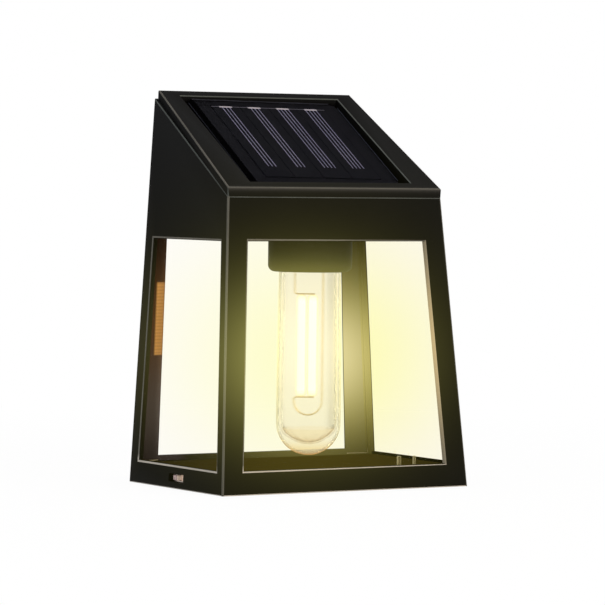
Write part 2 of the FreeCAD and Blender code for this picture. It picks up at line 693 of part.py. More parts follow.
# The swelling stops at the rail, where the chamber's floor and the base plate begin
rail_clear = sketch_on(back_frame, "YZ_Plane", "rail_clearance")
rectangle(rail_clear, f"-{POST_FRONT}-overrun", "-back_thickness", "-overrun", "floor_height")
pocket(back_frame, rail_clear)
rear_window = sketch_on(back_frame, "XZ_Plane", "rear_window")
outline(rear_window, [
    (f"-{POST_INNER_LOW}", "rail_height"),
    (POST_INNER_LOW, "rail_height"),
    (POST_INNER_HIGH, WINDOW_TOP),
    (f"-{POST_INNER_HIGH}", WINDOW_TOP),
])
pocket(back_frame, rear_window)
ears = sketch_on(back_frame, "XY_Plane", "ceiling_ears", f"{CEILING}-ceiling_thickness")
for sign in ("", "-"):
    rectangle(ears, f"{sign}ear_x-ear_width/2", f"{sign}ear_x+ear_width/2", "-ear_reach", "-back_thickness/2")
pad(back_frame, ears, "ceiling_thickness")
ear_pilots = sketch_on(back_frame, "XY_Plane", "ear_pilots", CEILING)
for sign in ("", "-"):
    circle(ear_pilots, f"{sign}ear_x", "-ear_screw_reach", "small_screw_radius+pilot_gap")
pocket(back_frame, ear_pilots, "ceiling_thickness")

key_box = sketch_on(back_frame, "XZ_Plane", "keyhole_box", "back_thickness")
rectangle(
    key_box, f"-{KEY_HALF}", KEY_HALF,
    f"{HANGER}-{KEY_HALF}", f"{HANGER}+keyhole_rise+{KEY_HALF}",
)
pad(back_frame, key_box, "keyhole_pocket+keyhole_rim")
key_room = sketch_on(back_frame, "XZ_Plane", "keyhole_room", "back_thickness")
rectangle(
    key_room, f"keyhole_rim-{KEY_HALF}", f"{KEY_HALF}-keyhole_rim",
    f"{HANGER}+keyhole_rim-{KEY_HALF}", f"{HANGER}+keyhole_rise+{KEY_HALF}-keyhole_rim",
)
pocket(back_frame, key_room, "keyhole_pocket", forward=True)
key_entry = sketch_on(back_frame, "XZ_Plane", "keyhole_entry")
circle(key_entry, "0", f"{HANGER}", "keyhole_radius")
pocket(back_frame, key_entry, "back_thickness+slip", forward=True)
key_slot = sketch_on(back_frame, "XZ_Plane", "keyhole_slot_cut")
rectangle(key_slot, "-keyhole_slot", "keyhole_slot", f"{HANGER}", f"{HANGER}+keyhole_rise")
pocket(back_frame, key_slot, "back_thickness+slip", forward=True)
key_end = sketch_on(back_frame, "XZ_Plane", "keyhole_end")
circle(key_end, "0", f"{HANGER}+keyhole_rise", "keyhole_slot")
pocket(back_frame, key_end, "back_thickness+slip", forward=True)

channel = sketch_on(back_frame, "XZ_Plane", "lead_channel")


def channel_side(height, share):
    """The x of the lead channel at a height, from its outer side to its inner side."""
    return f"-({inner_half(height)}-slip-channel_width*{share})"


GATE_LOW = "(base_thickness+slip)"
GATE_HIGH = f"({CEILING_TOP}+slip)"
channel_top = f"({GATE_HIGH}+channel_gate)"
outline(channel, [
    (f"-({half_width('0')})", GATE_LOW),
    (channel_side(GATE_LOW, 1), GATE_LOW),
    (channel_side(channel_top, 1), channel_top),
    (f"-({half_width('0')})", channel_top),
])
pocket(back_frame, channel, "channel_depth", forward=True)
for name, low in (("low_gate", GATE_LOW), ("high_gate", GATE_HIGH)):
    gate = sketch_on(back_frame, "XZ_Plane", name)
    high = f"({low}+channel_gate)" if name == "high_gate" else "floor_height"
    outline(gate, [
        (f"-({half_width('0')})", low),
        (channel_side(low, 1), low),
        (channel_side(high, 1), high),
        (f"-({half_width('0')})", high),
    ])
    pocket(back_frame, gate, "back_thickness+slip", forward=True)

# The top edge follows the plug under the roof
top_slope = sketch_on(back_frame, "YZ_Plane", "top_slope")
outline(top_slope, [
    ("overrun", f"{UNDER_PLUG}+overrun*tan({PITCH})"),
    ("-overrun", f"{UNDER_PLUG}-overrun*tan({PITCH})"),
    ("-overrun", "crown_height+overrun"),
    ("overrun", "crown_height+overrun"),
])
pocket(back_frame, top_slope)
back_holes = sketch_on(back_frame, "XZ_Plane", "back_holes")
for x, z in BACK_PLACES:
    circle(back_holes, x, z, "case_screw_radius+slip")
pocket(back_frame, back_holes)
back_seats = sketch_on(back_frame, "XZ_Plane", "back_counterbores")
for x, z in BACK_PLACES:
    circle(back_seats, x, z, "case_screw_head+slip")
pocket(back_frame, back_seats, "case_head_height", forward=True)
place(back_frame)
finish(back_frame)

# Ceiling plate: closes the chamber and carries the socket, the battery and the board
ceiling = new_body("ceiling_plate")
ceiling_outline = sketch_on(ceiling, "XY_Plane", "ceiling_outline", CEILING)
ceiling_half = f"({inner_half(CEILING_TOP)}-slip)"
ceiling_front = f"({inner_depth(CEILING_TOP)}-slip)"
gate_corner = f"({inner_half(CEILING_TOP)}-slip-channel_width-slip)"
gate_front = f"({POST_FRONT}+channel_gate)"
outline(ceiling_outline, [
    (ceiling_half, "-back_thickness-slip"),
    (f"-{gate_corner}", "-back_thickness-slip"),
    (f"-{gate_corner}", f"-{gate_front}"),
    (f"-{ceiling_half}", f"-{gate_front}"),
    (f"-{ceiling_half}", f"-{ceiling_front}"),
    (ceiling_half, f"-{ceiling_front}"),
])
pad(ceiling, ceiling_outline, "ceiling_thickness")
standoffs = sketch_on(ceiling, "XY_Plane", "standoffs", CEILING_TOP)
for sign in ("", "-"):
    circle(standoffs, f"{sign}standoff_x", "-board_setback", "standoff_radius")
pad(ceiling, standoffs, "standoff_height")
board_pilots = sketch_on(ceiling, "XY_Plane", "board_pilots", BOARD_FOOT)
for sign in ("", "-"):
    circle(board_pilots, f"{sign}standoff_x", "-board_setback", "small_screw_radius+pilot_gap")
pocket(ceiling, board_pilots, "small_screw_length")
ceiling_holes = sketch_on(ceiling, "XY_Plane", "ceiling_holes", CEILING)
circle(ceiling_holes, "0", "-bulb_setback", "wire_hole_radius")
for sign in ("", "-"):
    circle(ceiling_holes, f"{sign}socket_screw_x", "-bulb_setback", "small_screw_radius+slip")
    circle(ceiling_holes, f"{sign}ear_x", "-ear_screw_reach", "small_screw_radius+slip")
pocket(ceiling, ceiling_holes)
place(ceiling)
finish(ceiling)

# Roof: a sloping slab with the panel's recess, drawn flat with its top edge on the x axis
roof = new_body("roof_frame")
roof_plan = sketch_on(roof, "XY_Plane", "roof_plan")
outline(roof_plan, [
    ("roof_back_width/2", "0"),
    ("-roof_back_width/2", "0"),
    ("-roof_front_width/2", f"-{SLOPE}-roof_rise*sin({PITCH})"),
    ("roof_front_width/2", f"-{SLOPE}-roof_rise*sin({PITCH})"),
])
pad(roof, roof_plan, SLAB, backward=True)
roof_plug = sketch_on(roof, "XY_Plane", "roof_plug", f"-{SLAB}")
plug_start = f"((plug_thickness+{SLAB})*tan({PITCH})+slip)"
plug_end = f"({SLOPE}-wall/cos({PITCH})-wall)"
plug_end_height = f"(crown_height+roof_rise-{plug_end}*sin({PITCH})-{SLAB}*cos({PITCH}))"
outline(roof_plug, [
    (f"{inner_half('crown_height')}-slip", f"-{plug_start}"),
    (f"slip-{inner_half('crown_height')}", f"-{plug_start}"),
    (f"slip-{inner_half(plug_end_height)}", f"-{plug_end}"),
    (f"{inner_half(plug_end_height)}-slip", f"-{plug_end}"),
])
pad(roof, roof_plug, "plug_thickness", backward=True)
roof_ends = sketch_on(roof, "YZ_Plane", "roof_ends")
outline(roof_ends, [
    ("0", "0"),
    (f"-{SLAB}*tan({PITCH})", f"-{SLAB}"),
    ("slip", f"-{SLAB}"),
    ("slip", "0"),
])
outline(roof_ends, [
    (f"-{SLOPE}", "0"),
    (f"-{SLOPE}-{SLAB}*tan({PITCH})", f"-{SLAB}"),
    (f"-{SLOPE}-overrun", f"-{SLAB}"),
    (f"-{SLOPE}-overrun", "0"),
])
pocket(roof, roof_ends)
panel_recess = sketch_on(roof, "XY_Plane", "panel_recess")
rectangle(
    panel_recess, "-recess_half_width", "recess_half_width",
    f"-recess_start-{RECESS_LENGTH}", "-recess_start",
)
sunk = pocket(roof, panel_recess, "panel_seat")


def upper_edge(edge):
    """True for every edge in the roof's upper face."""
    return all(abs(vertex.Point.z) < SMALL / 2 for vertex in edge.Vertexes)


def rim_of_recess(edge):
    """True for the upper edges of the recess."""
    inside = measure("recess_half_width") + SMALL
    start = -measure("recess_start") + SMALL
    end = -measure(f"recess_start+{RECESS_LENGTH}") - SMALL
    corners = [vertex.Point for vertex in edge.Vertexes]
    return upper_edge(edge) and all(abs(spot.x) < inside and end < spot.y < start for spot in corners)


rim = dress(roof, "Chamfer", sunk, edges_where(sunk, rim_of_recess), "recess_bevel")
outer_edges = edges_where(rim, lambda edge: upper_edge(edge) and (
    max(abs(v.Point.x) for v in edge.Vertexes) > measure("recess_half_width+roof_bevel")
))
eased = roof.newObject("PartDesign::Fillet", "roof_edges")
eased.Base = (rim, outer_edges)
eased.setExpression("Radius", tied("roof_bevel"))
document.recompute()
lead_hole = sketch_on(roof, "XY_Plane", "panel_lead_hole")
circle(lead_hole, "lead_hole_x", "-lead_hole_down", "lead_hole_radius")
pocket(roof, lead_hole)
lay_on_roof(roof)
finish(roof)

# Solar panel: foam pad, backing board, four cell strips, silver lines and a clear cover
BOARD_LEVEL = "(foam_thickness+panel_board_thickness)"


def rounded_panel(label, level, thickness):
    """A layer of the panel, with the panel's outline and round corners."""
    layer = new_body(label)
    drawn = sketch_on(layer, "XY_Plane", label + "_outline", level)
    rectangle(drawn, "-panel_width/2", "panel_width/2", f"-{PANEL_LENGTH}/2", f"{PANEL_LENGTH}/2")
    slab = pad(layer, drawn, thickness)
    upright = edges_where(slab, lambda edge: abs(edge.Vertexes[0].Point.z - edge.Vertexes[-1].Point.z) > 0)
    dress(layer, "Fillet", slab, upright, "panel_corner")
    return layer


foam = rounded_panel("panel_foam", "0", "foam_thickness")
foam_middle = sketch_on(foam, "XY_Plane", "foam_middle")
rectangle(
    foam_middle, "foam_width-panel_width/2", "panel_width/2-foam_width",
    f"foam_width-{PANEL_LENGTH}/2", f"{PANEL_LENGTH}/2-foam_width",
)
pocket(foam, foam_middle)
lay_panel(foam)
finish(foam)
panel_board = rounded_panel("panel_board", "foam_thickness", "panel_board_thickness")
lay_panel(panel_board)
finish(panel_board)

CELL_COUNT = 4
STRIP_SHARES = [place_share - (CELL_COUNT - 1) / 2 for place_share in range(CELL_COUNT)]
strips = []
for number, share in enumerate(STRIP_SHARES):
    left = f"cells_x+cell_pitch*({share})-cell_width/2"
    strips.append(primitive(
        "Box", f"cell_strip_{number}", f"{left}; -{CELL_LENGTH}/2; {BOARD_LEVEL}",
        Length="cell_width", Width=CELL_LENGTH, Height="cell_thickness",
    ))
cells = group("solar_cells", strips)
lay_panel(cells)
finish(cells)

LINE_COUNTS = (3, 3, 4, 4)
FINGER_LEVEL = f"({BOARD_LEVEL}+cell_thickness)"
TAB_TOP = f"({PANEL_DOWN}-tab_down)"
FINGER_LENGTH = f"({CELL_LENGTH}-finger_rest)"
lines = [primitive(
    "Box", "joining_line", f"cells_x-cell_pitch*2; {TAB_TOP}-tab_length/2; {FINGER_LEVEL}",
    Length="cell_pitch*4", Width="finger_width", Height="finger_thickness",
)]
for number, (share, count) in enumerate(zip(STRIP_SHARES, LINE_COUNTS)):
    middle = f"(cells_x+cell_pitch*({share}))"
    lines.append(primitive(
        "Box", f"tab_{number}", f"{middle}-tab_width/2; {TAB_TOP}-tab_length; {FINGER_LEVEL}",
        Length="tab_width", Width="tab_length", Height="finger_thickness",
    ))
    for line in range(count):
        offset = f"({middle}+finger_pitch*{line - (count - 1) / 2}-finger_width/2)"
        lines.append(primitive(
            "Box", f"line_{number}_{line}", f"{offset}; {TAB_TOP}-tab_length-{FINGER_LENGTH}; {FINGER_LEVEL}",
            Length="finger_width", Width=f"{FINGER_LENGTH}+tab_length/2", Height="finger_thickness",
        ))
fingers = joined("cell_fingers", lines)
fingers.Label = "cell_fingers"
lay_panel(fingers)
finish(fingers)

cover = rounded_panel("panel_cover", BOARD_LEVEL, "cover_thickness")
cell_room = sketch_on(cover, "XY_Plane", "cell_room", BOARD_LEVEL)
rectangle(
    cell_room, "cells_x-cell_pitch*2-slip", "cells_x+cell_pitch*2+slip",
    f"-{CELL_LENGTH}/2-slip", f"{CELL_LENGTH}/2+slip",
)
pocket(cover, cell_room, "cell_thickness+finger_thickness", forward=True)
lay_panel(cover)
finish(cover)

# Clear panes: one behind the front window and one behind each side window
front_pane = new_body("front_pane")
pane_profile = sketch_on(front_pane, "YZ_Plane", "front_pane_profile")
PANE_FOOT = "floor_height"


def front_face(height, inward):
    """The y of a plane that lies some way behind the inside of the front wall."""
    return f"-({inner_depth(height)}-slip-{inward})"


outline(pane_profile, [
    (front_face(PANE_FOOT, "0"), PANE_FOOT),
    (front_face(PANE_FOOT, "pane_thickness"), PANE_FOOT),
    (front_face(PANE_TOP, "pane_thickness"), PANE_TOP),
    (front_face(PANE_TOP, "0"), PANE_TOP),
])
pad(front_pane, pane_profile, "base_width", side="Symmetric")
pane_sides = sketch_on(front_pane, "XZ_Plane", "front_pane_sides")
for sign in ("", "-"):
    outline(pane_sides, [
        (f"{sign}({inner_half('0')}-2*slip-pane_thickness)", "0"),
        (f"{sign}base_width", "0"),
        (f"{sign}base_width", "crown_height"),
        (f"{sign}({inner_half('crown_height')}-2*slip-pane_thickness)", "crown_height"),
    ])
pocket(front_pane, pane_sides)
place(front_pane)
finish(front_pane)


def side_pane(label, sign):
    """A pane behind a side window, with two snap lugs at its foot."""
    pane = new_body(label)
    profile = sketch_on(pane, "XZ_Plane", label + "_profile", LENS_REAR)
    outline(profile, [
        (f"{sign}({inner_half(PANE_FOOT)}-slip)", PANE_FOOT),
        (f"{sign}({inner_half(PANE_TOP)}-slip)", PANE_TOP),
        (f"{sign}({inner_half(PANE_TOP)}-slip-pane_thickness)", PANE_TOP),
        (f"{sign}({inner_half(PANE_FOOT)}-slip-pane_thickness)", PANE_FOOT),
    ])
    pad(pane, profile, "base_depth")
    ends = sketch_on(pane, "YZ_Plane", label + "_front_end")
    outline(ends, [
        (front_face("0", "0"), "0"),
        (front_face("brow_height", "0"), "brow_height"),
        ("-base_depth-overrun", "brow_height"),
        ("-base_depth-overrun", "0"),
    ])
    pocket(pane, ends)
    lugs = sketch_on(pane, "XY_Plane", label + "_lugs", PANE_FOOT)
    lug_root = f"{sign}({inner_half(PANE_FOOT)}-slip-pane_thickness/2)"
    lug_face = f"{sign}({inner_half(PANE_FOOT)}-slip-pane_thickness-lug_reach)"
    for spot in ("lug_rear", "(lug_rear+lug_pitch)"):
        rectangle(lugs, lug_root, lug_face, f"-{spot}-lug_width/2", f"-{spot}+lug_width/2")
    pad(pane, lugs, "lug_height")
    place(pane)
    return finish(pane)


side_pane("left_pane", "-")
side_pane("right_pane", "")

# Bulb socket: a round cup under the ceiling plate
socket = new_body("bulb_socket")
SOCKET_FOOT = f"({CEILING}-socket_height)"
cup = sketch_on(socket, "XY_Plane", "socket_cup", SOCKET_FOOT)
circle(cup, "0", "0", "socket_radius")
pad(socket, cup, "socket_height")
bore = sketch_on(socket, "XY_Plane", "socket_bore", SOCKET_FOOT)
circle(bore, "0", "0", "glass_radius+glass_gap")
pocket(socket, bore, "socket_height-socket_web", forward=True)
socket_holes = sketch_on(socket, "XY_Plane", "socket_holes", CEILING)
circle(socket_holes, "0", "0", "wire_hole_radius")
for sign in ("", "-"):
    circle(socket_holes, f"{sign}socket_screw_x", "0", "small_screw_radius+pilot_gap")
bored = pocket(socket, socket_holes, "socket_web")


def socket_lip(edge):
    """True for the outer lower edge of the socket."""
    if edge.Curve.TypeId != "Part::GeomCircle":
        return False
    low = abs(edge.CenterOfMass.z - measure(SOCKET_FOOT)) < SMALL
    return low and abs(edge.Curve.Radius - measure("socket_radius")) < SMALL


dress(socket, "Chamfer", bored, edges_where(bored, socket_lip), "socket_bevel")
place(socket, y="-bulb_setback")
finish(socket)

# Bulb: a clear tube with a round end and a thick floor
LAMP_BOARD_FOOT = f"({CEILING}-socket_web-lamp_board_thickness)"
RIM = f"({LAMP_BOARD_FOOT}-glass_gap)"
GLASS_TIP = "(floor_height+glass_lift)"
ROUND_LEVEL = f"({GLASS_TIP}+glass_radius)"
INNER_RADIUS = "(glass_radius-glass_wall)"
INNER_FLOOR = f"({GLASS_TIP}+glass_floor)"
outer_tube = primitive(
    "Cylinder", "outer_tube", f"0; 0; {ROUND_LEVEL}",
    Radius="glass_radius", Height=f"{RIM}-{ROUND_LEVEL}",
)
outer_end = primitive("Sphere", "outer_end", f"0; 0; {ROUND_LEVEL}", Radius="glass_radius")
inner_tube = primitive(
    "Cylinder", "inner_tube", f"0; 0; {INNER_FLOOR}+glass_slant",
    Radius=INNER_RADIUS, Height=f"{RIM}-{INNER_FLOOR}-glass_slant",
)
inner_end = primitive(
    "Cone", "inner_end", f"0; 0; {INNER_FLOOR}",
    Radius1=f"{INNER_RADIUS}-glass_slant", Radius2=INNER_RADIUS, Height="glass_slant",
)
glass = less(
    "bulb_glass",
    joined("glass_outside", [outer_tube, outer_end]),
    joined("glass_inside", [inner_tube, inner_end]),
)
glass.Label = "bulb_glass"
place(glass, y="-bulb_setback")
finish(glass)

lamp_board = primitive(
    "Cylinder", "lamp_board", Radius="glass_radius", Height="lamp_board_thickness",
)
place(lamp_board, y="-bulb_setback", z=LAMP_BOARD_FOOT)
finish(lamp_board)

FILAMENT_LOW = f"({GLASS_TIP}+filament_rise)"
FILAMENT_HIGH = f"({SOCKET_FOOT}-filament_drop)"
strips = []
for side in ("left", "right"):
    strips.append(primitive(
        "Box", f"{side}_filament",
        f"filament_{side}_x-filament_width/2; -filament_depth/2; {FILAMENT_LOW}",
        Length="filament_width", Width="filament_depth", Height=f"{FILAMENT_HIGH}-{FILAMENT_LOW}",
    ))
filaments = group("filament_strips", strips)
place(filaments, y="-bulb_setback", turn=("0; 0; 1", "-bulb_angle"))
finish(filaments)


def run(corners, bend_limit):
    """The points of a wire whose corners are eased by short straight chords."""
    points = [FreeCAD.Vector(*[measure(value) for value in corner]) for corner in corners]
    share = measure("lead_bend_share")
    eased = [points[0]]
    for before, corner, after in zip(points, points[1:], points[2:]):
        back = (before - corner).normalize()
        ahead = (after - corner).normalize()
        half_turn = (math.pi - back.getAngle(ahead)) / 2
        shorter = min((before - corner).Length, (after - corner).Length)
        radius = min(measure(bend_limit), share * shorter / math.tan(half_turn))
        reach = radius * math.tan(half_turn)
        bisector = (back + ahead).normalize()
        middle = corner + bisector * (radius / math.cos(half_turn) - radius)
        eased += [corner + back * reach, middle, corner + ahead * reach]
    return eased + [points[-1]]


def strand(points, radius, sides):
    """A wire of flat-sided runs that meet in mitres."""
    ways = [(after - before).normalize() for before, after in zip(points, points[1:])]
    across = ways[0].cross(FreeCAD.Vector(ways[0].z, ways[0].x, -ways[0].y)).normalize()
    beside = ways[0].cross(across)
    ring = []
    for corner in range(sides):
        angle = 2 * math.pi * corner / sides
        ring.append(points[0] + across * (radius * math.cos(angle)) + beside * (radius * math.sin(angle)))
    faces = [Part.Face(Part.makePolygon(ring + ring[:1]))]
    for number, way in enumerate(ways):
        spot = points[number + 1]
        ahead = ways[min(number + 1, len(ways) - 1)]
        mitre = way + ahead
        moved = [corner + way * ((spot - corner).dot(mitre) / way.dot(mitre)) for corner in ring]
        for first in range(sides):
            after = (first + 1) % sides
            faces.append(Part.Face(Part.makePolygon([
                ring[first], ring[after], moved[after], moved[first], ring[first],
            ])))
        ring = moved
    faces.append(Part.Face(Part.makePolygon(ring + ring[:1])))
    solid = Part.makeSolid(Part.makeShell(faces))
    if not solid.isClosed():
        raise RuntimeError("a wire isn't closed")
    return solid


def wires(label, paths, radius, sides):
    """A node of separate wires along lists of points."""
    item = document.addObject("Part::Feature", label)
    item.Label = label
    item.Shape = Part.makeCompound([strand(points, measure(radius), sides) for points in paths])
    return item


def leads(label, routes):
    """A node of insulated leads, with six flat sides each."""
    paths = [run(corners, "lead_bend_limit") for corners in routes]
    for points in paths:
        print(f"{label} {sum((a - b).Length for a, b in zip(points, points[1:])):.1f} mm")
    return wires(label, paths, "lead_radius", 6)


# Support wires: one hangs the filaments, the other loops under them
HANG = f"({FILAMENT_HIGH}+wire_radius)"
CARRY = f"({FILAMENT_LOW}-wire_radius)"
WIRE_END = "(filament_right_x+wire_reach)"
LOOP_LEVEL = f"({FILAMENT_LOW}-wire_bend*2)"
LOOP_RADIUS = "((wire_right_x-wire_left_x)/2)"
LOOP_CENTRE = "((wire_right_x+wire_left_x)/2)"
LOOP_CHORDS = 8
hanging = run(
    [("wire_left_x", "0", LAMP_BOARD_FOOT), ("wire_left_x", "0", HANG), (WIRE_END, "0", HANG)],
    "wire_bend",
)
carrying = [FreeCAD.Vector(measure("wire_right_x"), 0, measure(LAMP_BOARD_FOOT))]
for chord in range(LOOP_CHORDS):
    angle = math.pi * chord / LOOP_CHORDS
    across = measure(LOOP_CENTRE) + measure(LOOP_RADIUS) * math.cos(angle)
    carrying.append(FreeCAD.Vector(across, 0, measure(LOOP_LEVEL) - measure(LOOP_RADIUS) * math.sin(angle)))
carrying += run(
    [("wire_left_x", "0", LOOP_LEVEL), ("wire_left_x", "0", CARRY), (WIRE_END, "0", CARRY)],
    "wire_bend",
)
support_wires = wires("support_wires", [hanging, carrying], "wire_radius", 8)
place(support_wires, y="-bulb_setback", turn=("0; 0; 1", "-bulb_angle"))
finish(support_wires)

# Battery and its tray
BATTERY_LEVEL = f"({CEILING_TOP}+tray_base+tray_gap+cell_radius)"
can = primitive("Cylinder", "battery_can", Radius="cell_radius", Height="cell_body_length")
nub = primitive("Cylinder", "battery_nub", "0; 0; cell_body_length", Radius="nub_radius", Height="nub_length")
battery = joined("battery_cell", [can, nub])
battery.Label = "battery_cell"
place(battery, x="-cell_body_length/2", y=f"-{BATTERY_SETBACK}", z=BATTERY_LEVEL, turn=("0; 1; 0", "90"))
finish(battery)

tray = new_body("battery_tray")
tray_profile = sketch_on(tray, "XY_Plane", "tray_outline", CEILING_TOP)
rectangle(tray_profile, f"-{TRAY_HALF}-tray_wall", f"{TRAY_HALF}+tray_wall", f"-{TRAY_SIDE}", TRAY_SIDE)
pad(tray, tray_profile, "tray_height")
cradle = sketch_on(tray, "YZ_Plane", "tray_cradle")
circle(cradle, "0", BATTERY_LEVEL, "cell_radius+tray_gap")
cut = tray.newObject("PartDesign::Pocket", "tray_cradle_pocket")
cut.Profile = cradle
cut.SideType = "Symmetric"
cut.setExpression("Length", tied(f"2*{TRAY_HALF}"))
document.recompute()
mouth = sketch_on(tray, "XY_Plane", "tray_mouth", BATTERY_LEVEL)
rectangle(mouth, f"-{TRAY_HALF}", TRAY_HALF, "-cell_radius-tray_gap", "cell_radius+tray_gap")
pocket(tray, mouth, "tray_height", forward=True)
place(tray, y=f"-{BATTERY_SETBACK}")
finish(tray)

# Battery contacts: a flat strip at the positive end and a bent leaf at the negative end
contacts = []
CONTACT_LOW = f"({CEILING_TOP}+contact_foot)"
CONTACT_TOP = f"({BATTERY_LEVEL}+contact_rise)"
plus_strip = new_body("plus_strip")
plus_outline = sketch_on(plus_strip, "XZ_Plane", "plus_outline", f"{BATTERY_SETBACK}-contact_width/2")
outline(plus_outline, [
    (TRAY_HALF, CONTACT_LOW),
    (TRAY_HALF, CONTACT_TOP),
    (f"{TRAY_HALF}-contact_thickness", CONTACT_TOP),
    (f"{TRAY_HALF}-contact_thickness", f"{BATTERY_LEVEL}+nub_radius"),
    ("cell_body_length/2+nub_length+contact_thickness", f"{BATTERY_LEVEL}+nub_radius/2"),
    ("cell_body_length/2+nub_length+contact_thickness", f"{BATTERY_LEVEL}-nub_radius/2"),
    (f"{TRAY_HALF}-contact_thickness", f"{BATTERY_LEVEL}-nub_radius"),
    (f"{TRAY_HALF}-contact_thickness", CONTACT_LOW),
])
pad(plus_strip, plus_outline, "contact_width")
minus_strip = new_body("minus_strip")
minus_outline = sketch_on(minus_strip, "XZ_Plane", "minus_outline", f"{BATTERY_SETBACK}-contact_width/2")
outline(minus_outline, [
    (f"-{TRAY_HALF}", CONTACT_LOW),
    (f"-{TRAY_HALF}", CONTACT_TOP),
    (f"contact_thickness-{TRAY_HALF}", CONTACT_TOP),
    (f"contact_thickness-{TRAY_HALF}", f"{BATTERY_LEVEL}+nub_radius"),
    ("-cell_body_length/2-pilot_gap", f"{BATTERY_LEVEL}+contact_thickness"),
    ("-cell_body_length/2-pilot_gap", f"{BATTERY_LEVEL}-contact_thickness"),
    ("-cell_body_length/2-pilot_gap-contact_thickness*2", f"{BATTERY_LEVEL}-contact_thickness"),
    (f"contact_thickness-{TRAY_HALF}", f"{BATTERY_LEVEL}+nub_radius-contact_thickness*2"),
    (f"contact_thickness-{TRAY_HALF}", CONTACT_LOW),
])
pad(minus_strip, minus_outline, "contact_width")
contact_pair = group("battery_contacts", [plus_strip, minus_strip])
place(contact_pair)
finish(contact_pair)

# Control board and what is soldered to it
control_board = new_body("control_board")
board_outline = sketch_on(control_board, "XY_Plane", "board_outline", BOARD_FOOT)
rectangle(board_outline, "-board_width/2", "board_width/2", "-board_depth/2", "board_depth/2")
pad(control_board, board_outline, "board_thickness")
board_holes = sketch_on(control_board, "XY_Plane", "board_holes", BOARD_FOOT)
for sign in ("", "-"):
    circle(board_holes, f"{sign}standoff_x", "0", "small_screw_radius+slip")
pocket(control_board, board_holes)
place(control_board, y="-board_setback")
finish(control_board)

PARTS_Y = "-board_setback-parts_forward"
chip = primitive("Box", "driver_chip", Length="chip_length", Width="chip_width", Height="chip_height")
place(chip, x="chip_x-chip_length/2", y=f"{PARTS_Y}-chip_width/2", z=BOARD_TOP)
finish(chip)
inductor = primitive("Cylinder", "power_inductor", Radius="inductor_radius", Height="inductor_height")
place(inductor, x="inductor_x", y=PARTS_Y, z=BOARD_TOP)
finish(inductor)
cans = []
for number in range(2):
    cans.append(primitive(
        "Cylinder", f"capacitor_{number}", f"capacitor_x+capacitor_pitch*{number}; {PARTS_Y}; {BOARD_TOP}",
        Radius="capacitor_radius", Height="capacitor_height",
    ))
capacitors = group("capacitors", cans)
place(capacitors)
finish(capacitors)


SCREW_SIDES = 12


def screws(label, places, turn, radius, head, rise, length):
    """A node of like screws, each a head on a shank."""
    axis, angle = turn
    items = []
    for number, spot in enumerate(places):
        name = f"{label}_{number}"
        top = primitive("Prism", name + "_head", f"0; 0; -({rise})", Circumradius=head, Height=rise)
        shank = primitive("Prism", name + "_shank", f"0; 0; -({length})", Circumradius=radius, Height=length)
        top.Polygon = SCREW_SIDES
        shank.Polygon = SCREW_SIDES
        screw = joined(name, [top, shank])
        screw.setExpression(
            "Placement", tied(f"placement(vector({'; '.join(spot)}); rotation(vector({axis}); {angle}))")
        )
        items.append(screw)
    pieces = group(label, items)
    place(pieces)
    return finish(pieces)


CASE = ("case_screw_radius", "case_screw_head", "case_head_height", "case_screw_length")
screws("base_screws", [(x, y, "0") for x, y in BASE_PLACES], ("1; 0; 0", "180"), *CASE)
screws("back_screws", [(x, "0", z) for x, z in BACK_PLACES], ("1; 0; 0", "-90"), *CASE)

INNER = ("small_screw_radius", "small_screw_head", "small_head_height")
INNER_LENGTH = "(small_screw_length+small_head_height)"
EAR_LENGTH = "(ceiling_thickness*2+small_head_height-slip)"
UPRIGHT = ("1; 0; 0", "0")
HEAD_ON_CEILING = f"({CEILING_TOP}+small_head_height)"
HEAD_ON_BOARD = f"({BOARD_TOP}+small_head_height)"
SOCKET_SPOTS = [(f"{sign}socket_screw_x", "-bulb_setback", HEAD_ON_CEILING) for sign in ("", "-")]
EAR_SPOTS = [(f"{sign}ear_x", "-ear_screw_reach", HEAD_ON_CEILING) for sign in ("", "-")]
BOARD_SPOTS = [(f"{sign}standoff_x", "-board_setback", HEAD_ON_BOARD) for sign in ("", "-")]
screws("socket_screws", SOCKET_SPOTS, UPRIGHT, *INNER, INNER_LENGTH)
screws("ceiling_screws", EAR_SPOTS, UPRIGHT, *INNER, EAR_LENGTH)
screws("board_screws", BOARD_SPOTS, UPRIGHT, *INNER, INNER_LENGTH)

# Slide switch behind the slot in the left wall
SWITCH_Z = "(slot_low+slot_height/2)"
SHELL_OUT = f"(-{SWITCH_FACE})"
SHELL_IN = f"({SHELL_OUT}+shell_thickness)"
SWITCH_BACK = f"({SHELL_OUT}+switch_depth)"
KNOB_REAR = "(slot_rear+knob_rear_offset)"
KNOB_FRONT = f"({KNOB_REAR}+knob_length)"

shell = new_body("switch_shell")
shell_outline = sketch_on(shell, "YZ_Plane", "shell_outline", SHELL_OUT)
rectangle(
    shell_outline, f"-{SWITCH_MID}-switch_length/2", f"-{SWITCH_MID}+switch_length/2",
    f"{SWITCH_Z}-switch_height/2", f"{SWITCH_Z}+switch_height/2",
)
pad(shell, shell_outline, "switch_depth")
shell_room = sketch_on(shell, "YZ_Plane", "shell_room", SHELL_IN)
rectangle(
    shell_room,
    f"-{SWITCH_MID}-switch_length/2+shell_thickness", f"-{SWITCH_MID}+switch_length/2-shell_thickness",
    f"{SWITCH_Z}-switch_height/2+shell_thickness", f"{SWITCH_Z}+switch_height/2-shell_thickness",
)
pocket(shell, shell_room, "switch_depth", forward=True)
shell_slot = sketch_on(shell, "YZ_Plane", "shell_slot", SHELL_OUT)
rectangle(
    shell_slot,
    f"-{KNOB_FRONT}-knob_travel-switch_tongue_gap", f"-{KNOB_REAR}+switch_tongue_gap",
    f"{SWITCH_Z}-knob_height/2-switch_tongue_gap", f"{SWITCH_Z}+knob_height/2+switch_tongue_gap",
)
